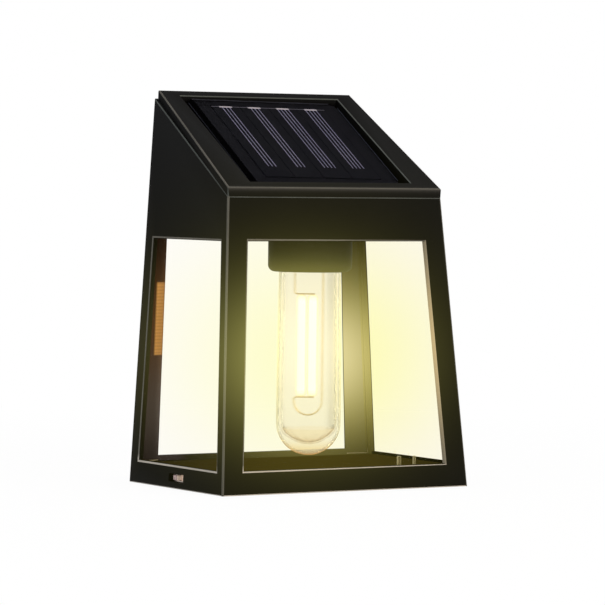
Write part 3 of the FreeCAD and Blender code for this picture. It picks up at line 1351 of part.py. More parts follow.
pocket(shell, shell_slot, "shell_thickness*2", forward=True)
place(shell)
finish(shell)

FOOT_GAP = "(switch_tongue_gap)"
FOOT_OUT = f"({SHELL_IN}+{FOOT_GAP})"
FOOT_IN = f"({FOOT_OUT}+knob_foot_depth)"
knob = new_body("switch_knob")
knob_stem = sketch_on(knob, "YZ_Plane", "knob_stem", f"{SHELL_OUT}-knob_reach")
rectangle(
    knob_stem, f"-{KNOB_FRONT}", f"-{KNOB_REAR}",
    f"{SWITCH_Z}-knob_height/2", f"{SWITCH_Z}+knob_height/2",
)
stem = pad(knob, knob_stem, f"knob_reach+shell_thickness+{FOOT_GAP}+knob_foot_depth/2")
knob_foot = sketch_on(knob, "YZ_Plane", "knob_foot", FOOT_OUT)
FOOT_HALF = "(switch_height/2-shell_thickness-switch_tongue_gap)"
rectangle(
    knob_foot, f"-{KNOB_FRONT}-knob_foot_margin", f"-{KNOB_REAR}+knob_foot_margin",
    f"{SWITCH_Z}-{FOOT_HALF}", f"{SWITCH_Z}+{FOOT_HALF}",
)
pad(knob, knob_foot, "knob_foot_depth")
place(knob)
finish(knob)

switch_base = new_body("switch_base")
base_block = sketch_on(switch_base, "YZ_Plane", "switch_base_outline", f"{FOOT_IN}+{FOOT_GAP}")
rectangle(
    base_block,
    f"-{SWITCH_MID}-switch_length/2+shell_thickness+switch_tongue_gap",
    f"-{SWITCH_MID}+switch_length/2-shell_thickness-switch_tongue_gap",
    f"{SWITCH_Z}-{FOOT_HALF}", f"{SWITCH_Z}+{FOOT_HALF}",
)
pad(switch_base, base_block, f"{SWITCH_BACK}-{FOOT_IN}-{FOOT_GAP}")
place(switch_base)
finish(switch_base)

pins = []
for number, share in enumerate((-1, 0, 1)):
    pins.append(primitive(
        "Box", f"pin_{number}",
        f"{SWITCH_BACK}; -{SWITCH_MID}+pin_pitch*{share}-pin_radius; {SWITCH_Z}-pin_radius",
        Length="pin_length", Width="pin_radius*2", Height="pin_radius*2",
    ))
switch_pins = group("switch_pins", pins)
place(switch_pins)
finish(switch_pins)

# Leads inside the lantern
bulb_leads = leads("bulb_leads", [
    [
        (f"{side}*lead_pitch", "-bulb_setback", f"{LAMP_BOARD_FOOT}+lamp_board_thickness"),
        (f"{side}*lead_pitch", "-bulb_setback", BOARD_FOOT),
    ]
    for side in (-1, 1)
])
place(bulb_leads)
finish(bulb_leads)

HOLE_Y = f"(-lead_hole_down*cos({PITCH})+(panel_seat-foam_thickness)*sin({PITCH}))"
HOLE_Z = f"(crown_height+roof_rise-lead_hole_down*sin({PITCH})-(panel_seat-foam_thickness)*cos({PITCH}))"
PANEL_DROP = "(plug_thickness+lead_arch)"


def lead_crest(setback):
    """The height to which a lead rises over the board, some way from the wall."""
    free = f"({UNDER_PLUG}-{setback}*tan({PITCH})-{BOARD_TOP})"
    return f"({BOARD_TOP}+lead_crest_share*{free})"


BOARD_REAR = "(board_setback-board_depth/4)"
panel_leads = leads("panel_leads", [
    [
        (f"lead_hole_x+{side}*lead_pitch/2", HOLE_Y, HOLE_Z),
        (
            f"lead_hole_x+{side}*lead_pitch/2",
            f"{HOLE_Y}+{PANEL_DROP}*sin({PITCH})",
            f"{HOLE_Z}-{PANEL_DROP}*cos({PITCH})",
        ),
        (f"lead_hole_x+{side}*lead_pitch/2", f"-{BOARD_REAR}", lead_crest(BOARD_REAR)),
        (f"lead_hole_x+{side}*lead_pitch/2", f"-{BOARD_REAR}", BOARD_TOP),
    ]
    for side in (-1, 1)
])
place(panel_leads)
finish(panel_leads)

BATTERY_CREST = f"({CONTACT_TOP}+lead_rise_share*({UNDER_PLUG}-{BATTERY_SETBACK}*tan({PITCH})-{CONTACT_TOP}))"
BOARD_EDGE = "(board_setback-board_depth/3)"
battery_leads = leads("battery_leads", [
    [
        (f"{side}*({TRAY_HALF}-contact_thickness/2)", f"-{BATTERY_SETBACK}", CONTACT_TOP),
        (f"{side}*({TRAY_HALF}-contact_thickness/2)", f"-{BATTERY_SETBACK}", BATTERY_CREST),
        (f"{side}*(standoff_x-board_depth/4)", f"-{BOARD_EDGE}", lead_crest(BOARD_EDGE)),
        (f"{side}*(standoff_x-board_depth/4)", f"-{BOARD_EDGE}", BOARD_TOP),
    ]
    for side in (-1, 1)
])
place(battery_leads)
finish(battery_leads)

CHANNEL_Y = "(-channel_depth/2)"
GATE_LEVEL = f"({GATE_HIGH}+channel_gate*3/4)"
LOW_LEVEL = "(base_thickness+slip+lead_bend_limit/2)"


def switch_route(side):
    """One of the two leads from the board, down the left post, to the switch."""
    share = f"(channel_width/2+{side}*lead_pitch/2)"

    def in_channel(height):
        return f"(-({inner_half(height)}-slip-{share}))"

    pin_y = f"(-{SWITCH_MID}+pin_pitch*{(1 - side) / 2})"
    aside = f"(-board_width/2+board_depth/8-{side}*lead_pitch/2)"
    run_x = f"({SWITCH_BACK}+pin_length+lead_bend_limit+{side}*lead_pitch/2)"
    return [
        (aside, "-board_setback-board_depth/3", BOARD_TOP),
        (aside, "-board_setback-board_depth/3", f"{BOARD_TOP}+lead_arch"),
        (f"{in_channel(GATE_LEVEL)}+lead_arch", "-board_setback+board_depth/2", GATE_LEVEL),
        (in_channel(GATE_LEVEL), f"-{BATTERY_SETBACK}", GATE_LEVEL),
        (in_channel(GATE_LEVEL), CHANNEL_Y, GATE_LEVEL),
        (in_channel(LOW_LEVEL), CHANNEL_Y, LOW_LEVEL),
        (in_channel(LOW_LEVEL), "-base_boss_rear-boss_half", LOW_LEVEL),
        (run_x, "-slot_rear+lead_bend_limit", SWITCH_Z),
        (run_x, pin_y, SWITCH_Z),
        (f"{SWITCH_BACK}+pin_length", pin_y, SWITCH_Z),
    ]


switch_leads = leads("switch_leads", [switch_route(side) for side in (-1, 1)])
place(switch_leads)
finish(switch_leads)

# Every object has to be sound before anything is written
document.recompute()
for item in document.Objects:
    if "Invalid" in item.State or "Error" in item.State:
        raise RuntimeError(f"{item.Label} did not build")
os.makedirs("parts", exist_ok=True)
for item in PIECES:
    if item.Shape.isNull() or not item.Shape.isValid():
        raise RuntimeError(f"{item.Label} has no valid shape")
    item.Shape.exportStep(f"parts/{item.Label}.step")
    print(f"{item.Label}: {len(item.Shape.Solids)} solids, {item.Shape.Volume:.0f} mm3")
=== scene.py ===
# %% [markdown]
# # A solar wall light, dressed
# The lantern's solids come from the CAD pack as a fixed frame. This lesson gives each the finish of
# its real material, and models again the pieces that need more than a plain solid: the mouldings
# with eased edges, the glass tube, its wires and filaments, the socket's rounded lip, the lugs, the
# screws and the switch. All is in metres, in the CAD's frame: +X right, +Y into the wall, +Z up.

# %% Load the frame
import json
import math

import bmesh
import bpy
from mathutils import Matrix, Vector


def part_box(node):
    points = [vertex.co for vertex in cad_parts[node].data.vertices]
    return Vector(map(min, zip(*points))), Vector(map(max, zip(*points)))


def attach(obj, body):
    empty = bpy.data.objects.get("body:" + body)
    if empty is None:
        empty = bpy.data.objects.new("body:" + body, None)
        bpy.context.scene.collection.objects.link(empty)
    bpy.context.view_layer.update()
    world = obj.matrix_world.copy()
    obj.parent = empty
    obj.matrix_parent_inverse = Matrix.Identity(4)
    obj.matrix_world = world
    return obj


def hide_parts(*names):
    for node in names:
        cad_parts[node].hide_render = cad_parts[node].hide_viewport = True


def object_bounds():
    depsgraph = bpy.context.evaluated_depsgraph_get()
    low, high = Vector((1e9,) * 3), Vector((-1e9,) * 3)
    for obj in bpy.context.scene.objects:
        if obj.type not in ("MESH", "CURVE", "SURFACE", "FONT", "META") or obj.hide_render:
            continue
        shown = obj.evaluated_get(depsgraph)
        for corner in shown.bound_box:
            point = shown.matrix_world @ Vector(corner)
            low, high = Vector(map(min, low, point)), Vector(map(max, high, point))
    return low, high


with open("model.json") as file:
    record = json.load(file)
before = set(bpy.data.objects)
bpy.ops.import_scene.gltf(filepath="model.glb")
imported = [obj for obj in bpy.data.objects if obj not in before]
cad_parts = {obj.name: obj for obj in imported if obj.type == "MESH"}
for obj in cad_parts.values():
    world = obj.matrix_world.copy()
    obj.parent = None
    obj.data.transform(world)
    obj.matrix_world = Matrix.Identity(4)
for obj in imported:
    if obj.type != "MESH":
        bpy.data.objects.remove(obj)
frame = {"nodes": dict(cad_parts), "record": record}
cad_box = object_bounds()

MM = 0.001
nodes = frame["nodes"]
print(len(nodes), "CAD nodes in", [round(v / MM, 1) for v in cad_box[1] - cad_box[0]], "mm")

# %% [markdown]
# ## Shader maths
# Most nodes of a finish only do sums. They could be linked one by one, but as Python expressions the
# sums stay readable, so a small class stands for a node's output and turns + - * / and ** into Math
# nodes. Two of its methods are the masks used most: what lies before an edge, and what lies past it.

# %% Values
def sign(operation, swapped=False):
    """The method for one sign: a Math node of the value and what stands on its other side."""
    def method(self, other):
        pair = (other, self) if swapped else (self, other)
        return self.finish.maths(operation, *pair)
    return method


class Value:
    """One output of a shader node, with arithmetic."""

    __add__ = __radd__ = sign("ADD")
    __mul__ = __rmul__ = sign("MULTIPLY")
    __sub__, __rsub__ = sign("SUBTRACT"), sign("SUBTRACT", swapped=True)
    __truediv__, __rtruediv__ = sign("DIVIDE"), sign("DIVIDE", swapped=True)
    __pow__, __rpow__ = sign("POWER"), sign("POWER", swapped=True)

    def __init__(self, finish, socket):
        self.finish = finish
        self.socket = socket

    def clipped(self):
        """The value, kept between 0 and 1."""
        return self.finish.node("Clamp", {"Value": self})

    def past(self, edge, blur):
        """A mask that turns from 0 to 1 as the value goes from the edge to blur past it."""
        return ((self - edge) / blur).clipped()

    def before(self, edge, blur):
        """A mask that turns from 1 to 0 as the value goes from blur before the edge to the edge."""
        return ((edge - self) / blur).clipped()


print("values add, multiply, subtract, divide and raise")

# %% [markdown]
# ## Finishes
# The second class holds a material, or the world, and makes every other node. Its patterns read
# Object coordinates, which stay on the piece when the lantern turns or its switch slides.

# %% The class of finishes
LOW_SHINE, PLAIN_SHINE = 0.01, 0.5


def solid(colour):
    """A colour of three numbers gets its fourth, and everything else stays."""
    return (*colour, 1.0) if isinstance(colour, tuple) and len(colour) == 3 else colour


class Finish:
    """A material, or the world, and the nodes that make it."""

    def __init__(self, name, world=False):
        self.block = (bpy.data.worlds if world else bpy.data.materials).new(name)
        self.block.use_nodes = True
        self.tree = self.block.node_tree
        self.tree.nodes.clear()
        self.end = self.tree.nodes.new(f"ShaderNodeOutput{'World' if world else 'Material'}")

    def node(self, kind, sockets=None, out=0, **settings):
        """Any node: its type, the values or links of its sockets, the output used, its settings."""
        made = self.tree.nodes.new(f"ShaderNode{kind}")
        for name, setting in settings.items():
            setattr(made, name, setting)
        for name, value in (sockets or {}).items():
            if isinstance(value, Value):
                self.tree.links.new(value.socket, made.inputs[name])
            else:
                made.inputs[name].default_value = value
        return Value(self, made.outputs[out])

    def maths(self, operation, *inputs):
        return self.node("Math", dict(enumerate(inputs)), operation=operation)

    def vector(self, operation, first, second, out=0):
        return self.node("VectorMath", {0: first, 1: second}, out, operation=operation)

    def place(self):
        return self.node("TexCoord", out="Object")

    def axis(self, letter):
        return self.node("SeparateXYZ", {0: self.place()}, letter)

    def level(self, height, width):
        """A soft band round the object: 1 at that height, fading as a bell curve of that width."""
        off = self.axis("Z") - height
        return fading(off * off, width)

    def mix(self, share, first, second):
        """A colour between two colours."""
        sockets = {0: share, 6: solid(first), 7: solid(second)}
        return self.node("Mix", sockets, 2, data_type="RGBA")

    def grain(self, scale, detail=2.0, rough=0.5):
        """Cloudy noise from 0 to 1, whose features are about 1/scale metres wide."""
        sockets = {"Vector": self.place(), "Scale": scale, "Detail": detail, "Roughness": rough}
        return self.node("TexNoise", sockets)

    def drawn_grain(self, scale, stretch):
        """Noise drawn out along an axis: stretch is its scale along x, y and z."""
        turned_place = self.node("Mapping", {"Vector": self.place(), "Scale": stretch})
        return self.node("TexNoise", {"Vector": turned_place, "Scale": scale})

    def bump(self, height, strength, distance):
        sockets = {"Height": height, "Strength": strength, "Distance": distance}
        return self.node("Bump", sockets)

    def facing(self, blend=0.5):
        """0 where the surface is seen flat on, and 1 where it turns away."""
        return self.node("LayerWeight", {"Blend": blend}, "Facing")

    def rays(self, *kinds):
        """1 for rays of one of these kinds, and 0 for all others."""
        share = 0.0
        for kind in kinds:
            share = self.node("LightPath", out=kind) + share
        return share.clipped()

    def clear(self, *colour):
        """Straight through, with that tint."""
        return self.node("BsdfTransparent", {"Color": solid(colour)})

    def shader(self, **sockets):
        """The Principled shader, with socket names written with _ for spaces."""
        if "Emission_Color" in sockets:
            sockets.setdefault("Emission_Strength", 1.0)
        named = {name.replace("_", " "): solid(value) for name, value in sockets.items()}
        return self.node("BsdfPrincipled", named)

    def coat(self, colour, cloud, rough=0.35, spread=0.1, shine=LOW_SHINE, **more):
        """A surface whose gloss is as cloudy as its colour. By default it hardly mirrors."""
        gloss = {"Roughness": rough + cloud * spread, "Specular_IOR_Level": shine}
        return self.shader(Base_Color=colour, **gloss, **more)

    def blend(self, share, first, second):
        return self.node("MixShader", {0: share, 1: first, 2: second})

    def done(self, surface):
        self.tree.links.new(surface.socket, self.end.inputs["Surface"])
        return self.block


def fading(distance_squared, width):
    """A soft spot: 1 in its middle, fading as a bell curve of that width."""
    return math.e ** (distance_squared * (-0.5 / width**2))


def tone(*levels):
    """A colour as read off a picture, 0 to 255, as the linear light that shaders use."""
    shares = [level / 255 for level in levels]
    return tuple(s / 12.92 if s <= 0.04045 else ((s + 0.055) / 1.055) ** 2.4 for s in shares)


BLACK = (0.0, 0.0, 0.0)
WHITE = (1.0, 1.0, 1.0)
print("mid grey is", round(tone(128)[0], 3), "in linear light")

# %% [markdown]
# ## Camera
# The camera was fitted to the lantern's corners in the photograph, so it has the same viewpoint:
# about 1.5 m away, to the left and level with the roof, with a long lens.

# %% Set up the camera
CAMERA_PLACE = Vector((-0.7508, -1.2601, -0.0055))
LINE_OF_SIGHT = Vector((0.5232, 0.8515, -0.0354)).normalized()
CAMERA_ROLL = math.radians(0.65)
FOCAL_LENGTH = 216.94
SENSOR_WIDTH = 36.0

bpy.ops.object.select_all(action="DESELECT")
bpy.ops.object.camera_add(location=CAMERA_PLACE)
camera = bpy.context.object
level_right = LINE_OF_SIGHT.cross(Vector((0, 0, 1))).normalized()
level_up = level_right.cross(LINE_OF_SIGHT)
right = level_right * math.cos(CAMERA_ROLL) + level_up * math.sin(CAMERA_ROLL)
up = right.cross(LINE_OF_SIGHT)
camera.rotation_euler = Matrix((right, up, -LINE_OF_SIGHT)).transposed().to_euler()
camera.data.lens = FOCAL_LENGTH
camera.data.sensor_width = SENSOR_WIDTH
bpy.context.scene.camera = camera
bpy.context.scene.view_settings.view_transform = "Standard"
print("camera", round(CAMERA_PLACE.length, 3), "m from the keyhole")

# %% [markdown]
# ## Studio
# A white sweep would throw too much light on a black object, so it is white only to the camera, in
# reflections and through glass. The light on the object comes from a dimmer surround and three soft
# lamps. Near the lantern the floor is pale paper that takes its shadow, and further off it turns
# white, so that no line shows where it meets the backdrop.

# %% World and floor
SEEN = ("Is Camera Ray", "Is Glossy Ray", "Is Transmission Ray")
SURROUND_LIGHT, SURROUND_STRENGTH = (0.93, 0.96, 1.0, 1.0), 0.55
FLOOR_SIZE = 30.0
FLOOR_LEVEL = cad_box[0].z
FLOOR_GLOW, GLOW_FROM, GLOW_RISE = 0.97, 0.25, 0.15

world = Finish("studio", world=True)
backdrop_light = {"Color": solid(WHITE), "Strength": 1.0}
surround = world.node("Background", {"Color": SURROUND_LIGHT, "Strength": SURROUND_STRENGTH})
backdrop = world.node("Background", backdrop_light)
bpy.context.scene.world = world.done(world.blend(world.rays(*SEEN), surround, backdrop))

paint = Finish("floor_paint")
paper = paint.mix(paint.grain(40.0), (0.76, 0.76, 0.75), (0.8, 0.8, 0.79))
matt = paint.node("BsdfDiffuse", {"Color": paper})
reach = paint.vector("LENGTH", paint.place(), BLACK, "Value")
glow = (FLOOR_GLOW + (reach - GLOW_FROM) * GLOW_RISE).clipped()
shining = paint.node("Emission", backdrop_light)
bpy.ops.mesh.primitive_plane_add(size=FLOOR_SIZE, location=(0, 0, FLOOR_LEVEL))
floor = bpy.context.object
floor.name = "floor"
bpy.ops.object.transform_apply()
floor.data.materials.append(paint.done(paint.blend(paint.rays(*SEEN) * glow, matt, shining)))
print("floor at", round(FLOOR_LEVEL / MM, 1), "mm")

# %% Lamps
AIM = Vector((0, -0.04, -0.05))
LAMPS = {
    "front": ((0.25, -0.95, 0.35), 0.6, 7.0, (1.0, 0.87, 0.68)),
    "side": ((-0.95, -0.2, 0.4), 0.8, 3.6, (0.95, 0.97, 1.0)),
    "top": ((0.1, 0.1, 1.1), 0.7, 4.6, (0.97, 0.98, 1.0)),
}
for name, (spot, size, watts, colour) in LAMPS.items():
    bpy.ops.object.light_add(type="AREA", location=spot)
    lamp = bpy.context.object
    lamp.name = name
    lamp.data.size = size
    lamp.data.energy = watts
    lamp.data.color = colour
    lamp.rotation_euler = (AIM - Vector(spot)).to_track_quat("-Z", "Y").to_euler()
print(len(LAMPS), "lamps")

# %% [markdown]
# ## The haze of the lit tube
# In the photograph a warm, olive haze lies round the lit tube, on the plastic before and behind it.
# A compositor's glare or a volume would be lost in the export, so it is painted in the finishes as a
# faint glow. Its strength follows the distance from a fixed line through the tube's middle, set
# along the photograph's line of sight to put the warm patches where the photograph has them. The
# line belongs to the object and no node reads the camera, so the patches stay where they are in
# every view, and lie round the tube only in this one.

# %% Haze
LIT_MIDDLE = Vector((0.0, -0.0435, -0.0775))
HAZE_AXIS = Vector((0.7508, 1.2166, -0.072)).normalized()
HEIGHT_SHARE = 1.2
HAZE_WIDTH, HAZE_COLOUR = 21.5 * MM, (0.33, 0.315, 0.092)
HALO_WIDTH, HALO_COLOUR = 37.0 * MM, (0.034, 0.03, 0.003)
REAR_WIDTH, REAR_COLOUR, REAR_EDGE = 24.0 * MM, (0.82, 0.73, 0.62), (0.82, 0.73, 0.2)
REAR_LEVEL = 1.03


def off_line(finish):
    """The square of the distance to the haze's line, with heights counting a little more."""
    offset = finish.vector("SUBTRACT", finish.place(), tuple(LIT_MIDDLE))
    offset = finish.vector("MULTIPLY", offset, (1.0, 1.0, HEIGHT_SHARE))
    along = finish.vector("DOT_PRODUCT", offset, tuple(HAZE_AXIS), "Value")
    return finish.vector("DOT_PRODUCT", offset, offset, "Value") - along * along


def haze(finish, level=1.0, colour=HAZE_COLOUR, width=HAZE_WIDTH, edge=None):
    """The haze as a colour of light, with a wide, faint halo; its hue may turn to edge's outwards."""
    distance = off_line(finish)
    near = fading(distance, width)
    full = tuple(c * level for c in colour)
    if edge:
        full = finish.mix(near, tuple(c * level for c in edge), full)
    halo = finish.mix(fading(distance, HALO_WIDTH), BLACK, HALO_COLOUR)
    return finish.vector("ADD", finish.mix(near, BLACK, full), halo)


def rear_haze(finish):
    """The stronger haze on what stands behind the tube."""
    return haze(finish, REAR_LEVEL, REAR_COLOUR, REAR_WIDTH, REAR_EDGE)


print("haze", round(2 * HAZE_WIDTH / MM), "mm wide, halo", round(2 * HALO_WIDTH / MM), "mm")

# %% [markdown]
# ## Moulded black plastic
# The case is satin black plastic, with a fine spark-eroded grain that breaks up the highlights and a
# slightly uneven gloss where it cooled last. Noise in the gloss and a shallow bump give both. The
# haze would look wrong outside on the back and the right wall, which the lamp can't light, so a mask
# keeps it off them.

# %% The case's plastic
WARM_WIDTH = 45.0 * MM
FLOOR_HAZE_WIDTH, FLOOR_HAZE_COLOUR = 44.0 * MM, (0.095, 0.073, 0.015)
WALL_FOOT, WALL_LEAN = 55.2 * MM, 0.0647
BACK_FACE = -0.3 * MM
REAR_FROM = -7.2 * MM
ROOF_NOSE = Vector((0.0, -62.4 * MM, -11.1 * MM))
ROLL_WIDTH, ROLL_SLOPE = 0.6 * MM, 1.2
PLASTIC_DARK, PLASTIC_PALE = tone(15, 15, 16), tone(20, 20, 20)


def lamp_side(finish):
    """1 everywhere but on the outside of the right wall and the back."""
    wall = finish.axis("X") + (finish.axis("Z") - FLOOR_LEVEL) * WALL_LEAN
    on_wall = wall.past(WALL_FOOT, 0.333 * MM)
    return (1.0 - on_wall) * finish.axis("Y").before(BACK_FACE, 0.333 * MM)


def moulded(name, dark, pale, gloss=0.42, shine=LOW_SHINE, blue=0.2, rolled_highlight=None, **light):
    """Satin plastic. Near the lamp its colour is painted warmer, as the lamp's light on it, and blue
    is the share of blue that it keeps there. The rolled shade is a painted highlight: a pale shade at
    the roof's front edge, whose rounding is wider than its bevel. light is what haze takes, for what
    stands before or beside the tube."""
    finish = Finish(name)
    cloud = finish.grain(60.0)
    spark = finish.grain(5200.0, 3.0, 0.65)
    # Near the lamp the colour is painted warmer, as the lamp's light on the plastic.
    warm = tuple(share * level for share, level in zip(pale, (1.0, 0.9 + 0.1 * blue, blue)))
    near = fading(off_line(finish), WARM_WIDTH)
    rear = finish.axis("Y").past(REAR_FROM, 0.667 * MM)
    glowing = finish.mix(rear, haze(finish, **light), rear_haze(finish))
    body = finish.mix(near, finish.mix(cloud, dark, pale), warm)
    # The roof's front edge gets a painted highlight, a pale band along its rounding.
    if rolled_highlight:
        depth = finish.maths("ABSOLUTE", finish.axis("Z") - ROOF_NOSE.z)
        depth = depth + (finish.axis("Y") - ROOF_NOSE.y) * ROLL_SLOPE
        body = finish.mix(math.e ** (depth * (-1 / ROLL_WIDTH)), body, rolled_highlight)
    return finish.done(finish.shader(
        Base_Color=body,
        Roughness=gloss + cloud * 0.12 + spark * 0.08,
        Specular_IOR_Level=shine,
        Normal=finish.bump(spark, 0.25, 0.04 * MM),
        Emission_Color=finish.mix(lamp_side(finish), BLACK, glowing),
    ))


case_black = moulded("case_black", PLASTIC_DARK, PLASTIC_PALE)
roof_black = moulded("roof_black", PLASTIC_DARK, PLASTIC_PALE, rolled_highlight=tone(76, 74, 72))
# The panel's recess is painted near black: painted shade, far darker than the plastic.
recess_shade = moulded("recess_shade", tone(3, 3, 3), tone(6, 6, 6), blue=0.9)
# Corners that the CAD part already rounds get a painted highlight, pale along their facets.
corner_highlight = moulded(
    "corner_highlight", tone(66, 65, 62), tone(90, 88, 83), gloss=0.35, blue=0.9, level=1.15)
# The chamber floor is painted warm brown, as the lamp's light on it, with a wider painted haze.
floor_black = moulded(
    "floor_black", tone(13, 10, 5), tone(18, 14, 7), shine=0.0, colour=FLOOR_HAZE_COLOUR, width=FLOOR_HAZE_WIDTH)
print("5 black plastics")

# %% [markdown]
# ## Eased edges and the window's side
# The mouldings' eased edges get a painted highlight, palest at the windows' foot, where light comes
# from both sides. Colours that change with the height do that in one finish. The cut side of the
# front window's right end faces the tube, so it is painted pale as lit, with painted gold light at
# the tube's height.

# %% Edge finishes
CROWN_LEVEL, SILL_LEVEL = -24.0 * MM, -116.5 * MM
GOLD_BAND = (-72.0 * MM, 21.32 * MM)


def edge_highlight(name, level):
    """The painted highlight of eased edges: palest at the windows' foot, dimmest up on crown and roof.
    """
    finish = Finish(name)
    cloud = finish.grain(90.0)
    crown = finish.mix(cloud, tone(56, 59, 57), tone(80, 83, 80))
    rims = finish.mix(cloud, tone(72, 69, 65), tone(112, 109, 102))
    sills = finish.mix(cloud, tone(150, 143, 134), tone(186, 178, 168))
    upper = finish.mix(finish.axis("Z").before(CROWN_LEVEL, 6.25 * MM), crown, rims)
    colour = finish.mix(finish.axis("Z").before(SILL_LEVEL, 2.0 * MM), upper, sills)
    return finish.done(finish.coat(colour, cloud, Emission_Color=haze(finish, level)))


def window_side():
    """The cut side of the window: painted pale grey as lit, and painted gold light where the lamp
    shines on it.
    """
    finish = Finish("reveal_lit")
    cloud = finish.grain(60.0)
    colour = finish.mix(cloud, tone(70, 66, 58), tone(92, 86, 74))
    by_lamp = finish.level(*GOLD_BAND)
    light = finish.mix(by_lamp, (0.07, 0.066, 0.056), (0.5, 0.38, 0.18))
    return finish.done(finish.coat(colour, cloud, Emission_Color=light))


# Pale bevel finishes: a painted highlight on the eased edges.
eased_highlight = edge_highlight("eased_highlight", 1.5)
eased_lit_highlight = edge_highlight("eased_lit_highlight", 1.1)
reveal_lit = window_side()
print("3 edge finishes")

# %% [markdown]
# ## The rear frame
# Through the left pane, the rear frame's left post shows painted brown light, and a ribbed stripe on
# its inner side is a painted orange reflection of the filaments. Modelled ribs would cost more faces
# than they show, so the stripe is a sine wave between four soft edges, measured inwards from the
# post's outer edge, which leans.

# %% The rear frame's plastic
POST_SIDE, POST_TOP, POST_LEAN = 41.4 * MM, -31.7 * MM, 0.03484
LEFT_PART = -30.0 * MM
STRIPE_BAND, POST_FOOT_BAND = (-63.5 * MM, 14.74 * MM), (-96.0 * MM, 13.87 * MM)
TIP_WIDTH = 2.857 * MM
STRIPE_INNER, STRIPE_OUTER = 4.6 * MM, -0.2 * MM
STRIPE_LOW, STRIPE_HIGH = -78.2 * MM, -48.9 * MM
STRIPE_BLUR = 0.667 * MM
RIB_PITCH = 1.3 * MM


def rear_frame():
    finish = Finish("lit_black")
    cloud = finish.grain(60.0)
    x, y, z = finish.axis("X"), finish.axis("Y"), finish.axis("Z")
    inwards = -1.0 * x - (POST_SIDE - (z - POST_TOP) * POST_LEAN)
    # All of the post's light is painted in its emission: an orange band, a grey band at its foot,
    # brighter near its outer edge, and the stripe.
    orange = finish.mix(finish.level(*STRIPE_BAND), (0.008, 0.004, 0.002), (0.085, 0.037, 0.010))
    grey = finish.mix(finish.level(*POST_FOOT_BAND), BLACK, (0.050, 0.040, 0.032))
    paler = finish.mix(inwards.before(TIP_WIDTH, TIP_WIDTH), (0.85, 0.85, 0.85), (1.5, 1.6, 1.8))
    brown = finish.vector("MULTIPLY", finish.vector("ADD", orange, grey), paler)
    light = finish.mix(x.before(LEFT_PART, 5.0 * MM), rear_haze(finish), brown)
    across_stripe = inwards.past(STRIPE_OUTER, STRIPE_BLUR) * inwards.before(STRIPE_INNER, 0.909 * MM)
    along_stripe = z.past(STRIPE_LOW, STRIPE_BLUR) * z.before(STRIPE_HIGH, STRIPE_BLUR)
    ribs = finish.maths("SINE", z * (math.tau / RIB_PITCH)) * 0.14 + 0.8
    stripe = across_stripe * along_stripe * (ribs + cloud * 0.2) * (0.62 + inwards * 80.0)
    light = finish.mix(stripe, light, (0.58, 0.28, 0.075))
    light = finish.mix(y.before(BACK_FACE, 0.333 * MM), BLACK, light)
    colour = finish.mix(cloud, PLASTIC_DARK, PLASTIC_PALE)
    return finish.done(finish.coat(colour, cloud, 0.42, 0.15, Emission_Color=light))


lit_black = rear_frame()
print("stripe of", round((STRIPE_HIGH - STRIPE_LOW) / RIB_PITCH), "ribs")

# %% [markdown]
# ## The socket's plastic
# The cup is turned from the same black plastic, so its grain runs round it in fine rings. The tube
# lights its lip from below, and that light fades up the wall.

# %% Socket finish
LIP_BAND = (-44.0 * MM, 3.162 * MM)
# The colour of the haze on the cup, painted light.
CUP_HAZE_COLOUR = (0.335, 0.32, 0.118)


def cup_skin():
    finish = Finish("cup_black")
    rings = finish.drawn_grain(300.0, (0.3, 0.3, 4.0))
    lip_light = finish.mix(finish.level(*LIP_BAND), BLACK, (0.055, 0.052, 0.018))
    light = finish.vector("ADD", haze(finish, 1.65, CUP_HAZE_COLOUR), lip_light)
    colour = finish.mix(rings, tone(14, 14, 14), tone(24, 23, 22))
    return finish.done(finish.coat(colour, rings, 0.42, 0.12, Emission_Color=light))


cup_black = cup_skin()
print("the lip is lit at", round(LIP_BAND[0] / MM), "mm")

# %% [markdown]
# ## Clear panes and lugs
# The panes are thin and flat, so light goes straight through, and real glass shading would bend it
# for nothing: they are a Transparent shader with a reflection that grows at flat angles. The haze
# takes some blue out of what is behind them. The thick lugs have a painted pale highlight, which
# glows a little, where their sides turn away, and are a little dark inside.

# %% Pane and lug finishes
TINT_WIDTH = 40.0 * MM
PANE_SHEEN = 0.012


def clear_sheet(name, near_tint, far_tint):
    finish = Finish(name)
    streak = finish.grain(90.0)
    mirror = finish.mix(streak, (0.9, 0.9, 0.88), (1.0, 1.0, 0.98))
    gloss = finish.coat(mirror, streak, 0.04, 0.05, PLAIN_SHINE)
    near = fading(off_line(finish), TINT_WIDTH)
    tinted = finish.blend(near, finish.clear(*far_tint), finish.clear(*near_tint))
    return finish.done(finish.blend(finish.facing(0.12) * PANE_SHEEN, tinted, gloss))


def lug_finish():
    finish = Finish("clear_lug")
    # The pale edges are a painted highlight, with a little painted glow.
    edge_colour = finish.mix(finish.grain(700.0), tone(150, 142, 112), tone(222, 214, 182))
    edge = finish.shader(
        Base_Color=edge_colour, Roughness=0.2, Emission_Color=edge_colour, Emission_Strength=0.4)
    share = (finish.facing() * 1.1).clipped() ** 1.3
    return finish.done(finish.blend(share, finish.clear(0.93, 0.91, 0.82), edge))


clear_pane = clear_sheet("clear_pane", (1.0, 0.995, 0.81), (0.995, 0.985, 0.985))
clear_front = clear_sheet("clear_front", (0.997, 0.992, 0.78), (0.993, 0.98, 0.96))
clear_right = clear_sheet("clear_right", (1.0, 0.998, 0.87), (0.995, 0.985, 0.985))
clear_lug = lug_finish()
print("3 tints of pane and the lugs' plastic")

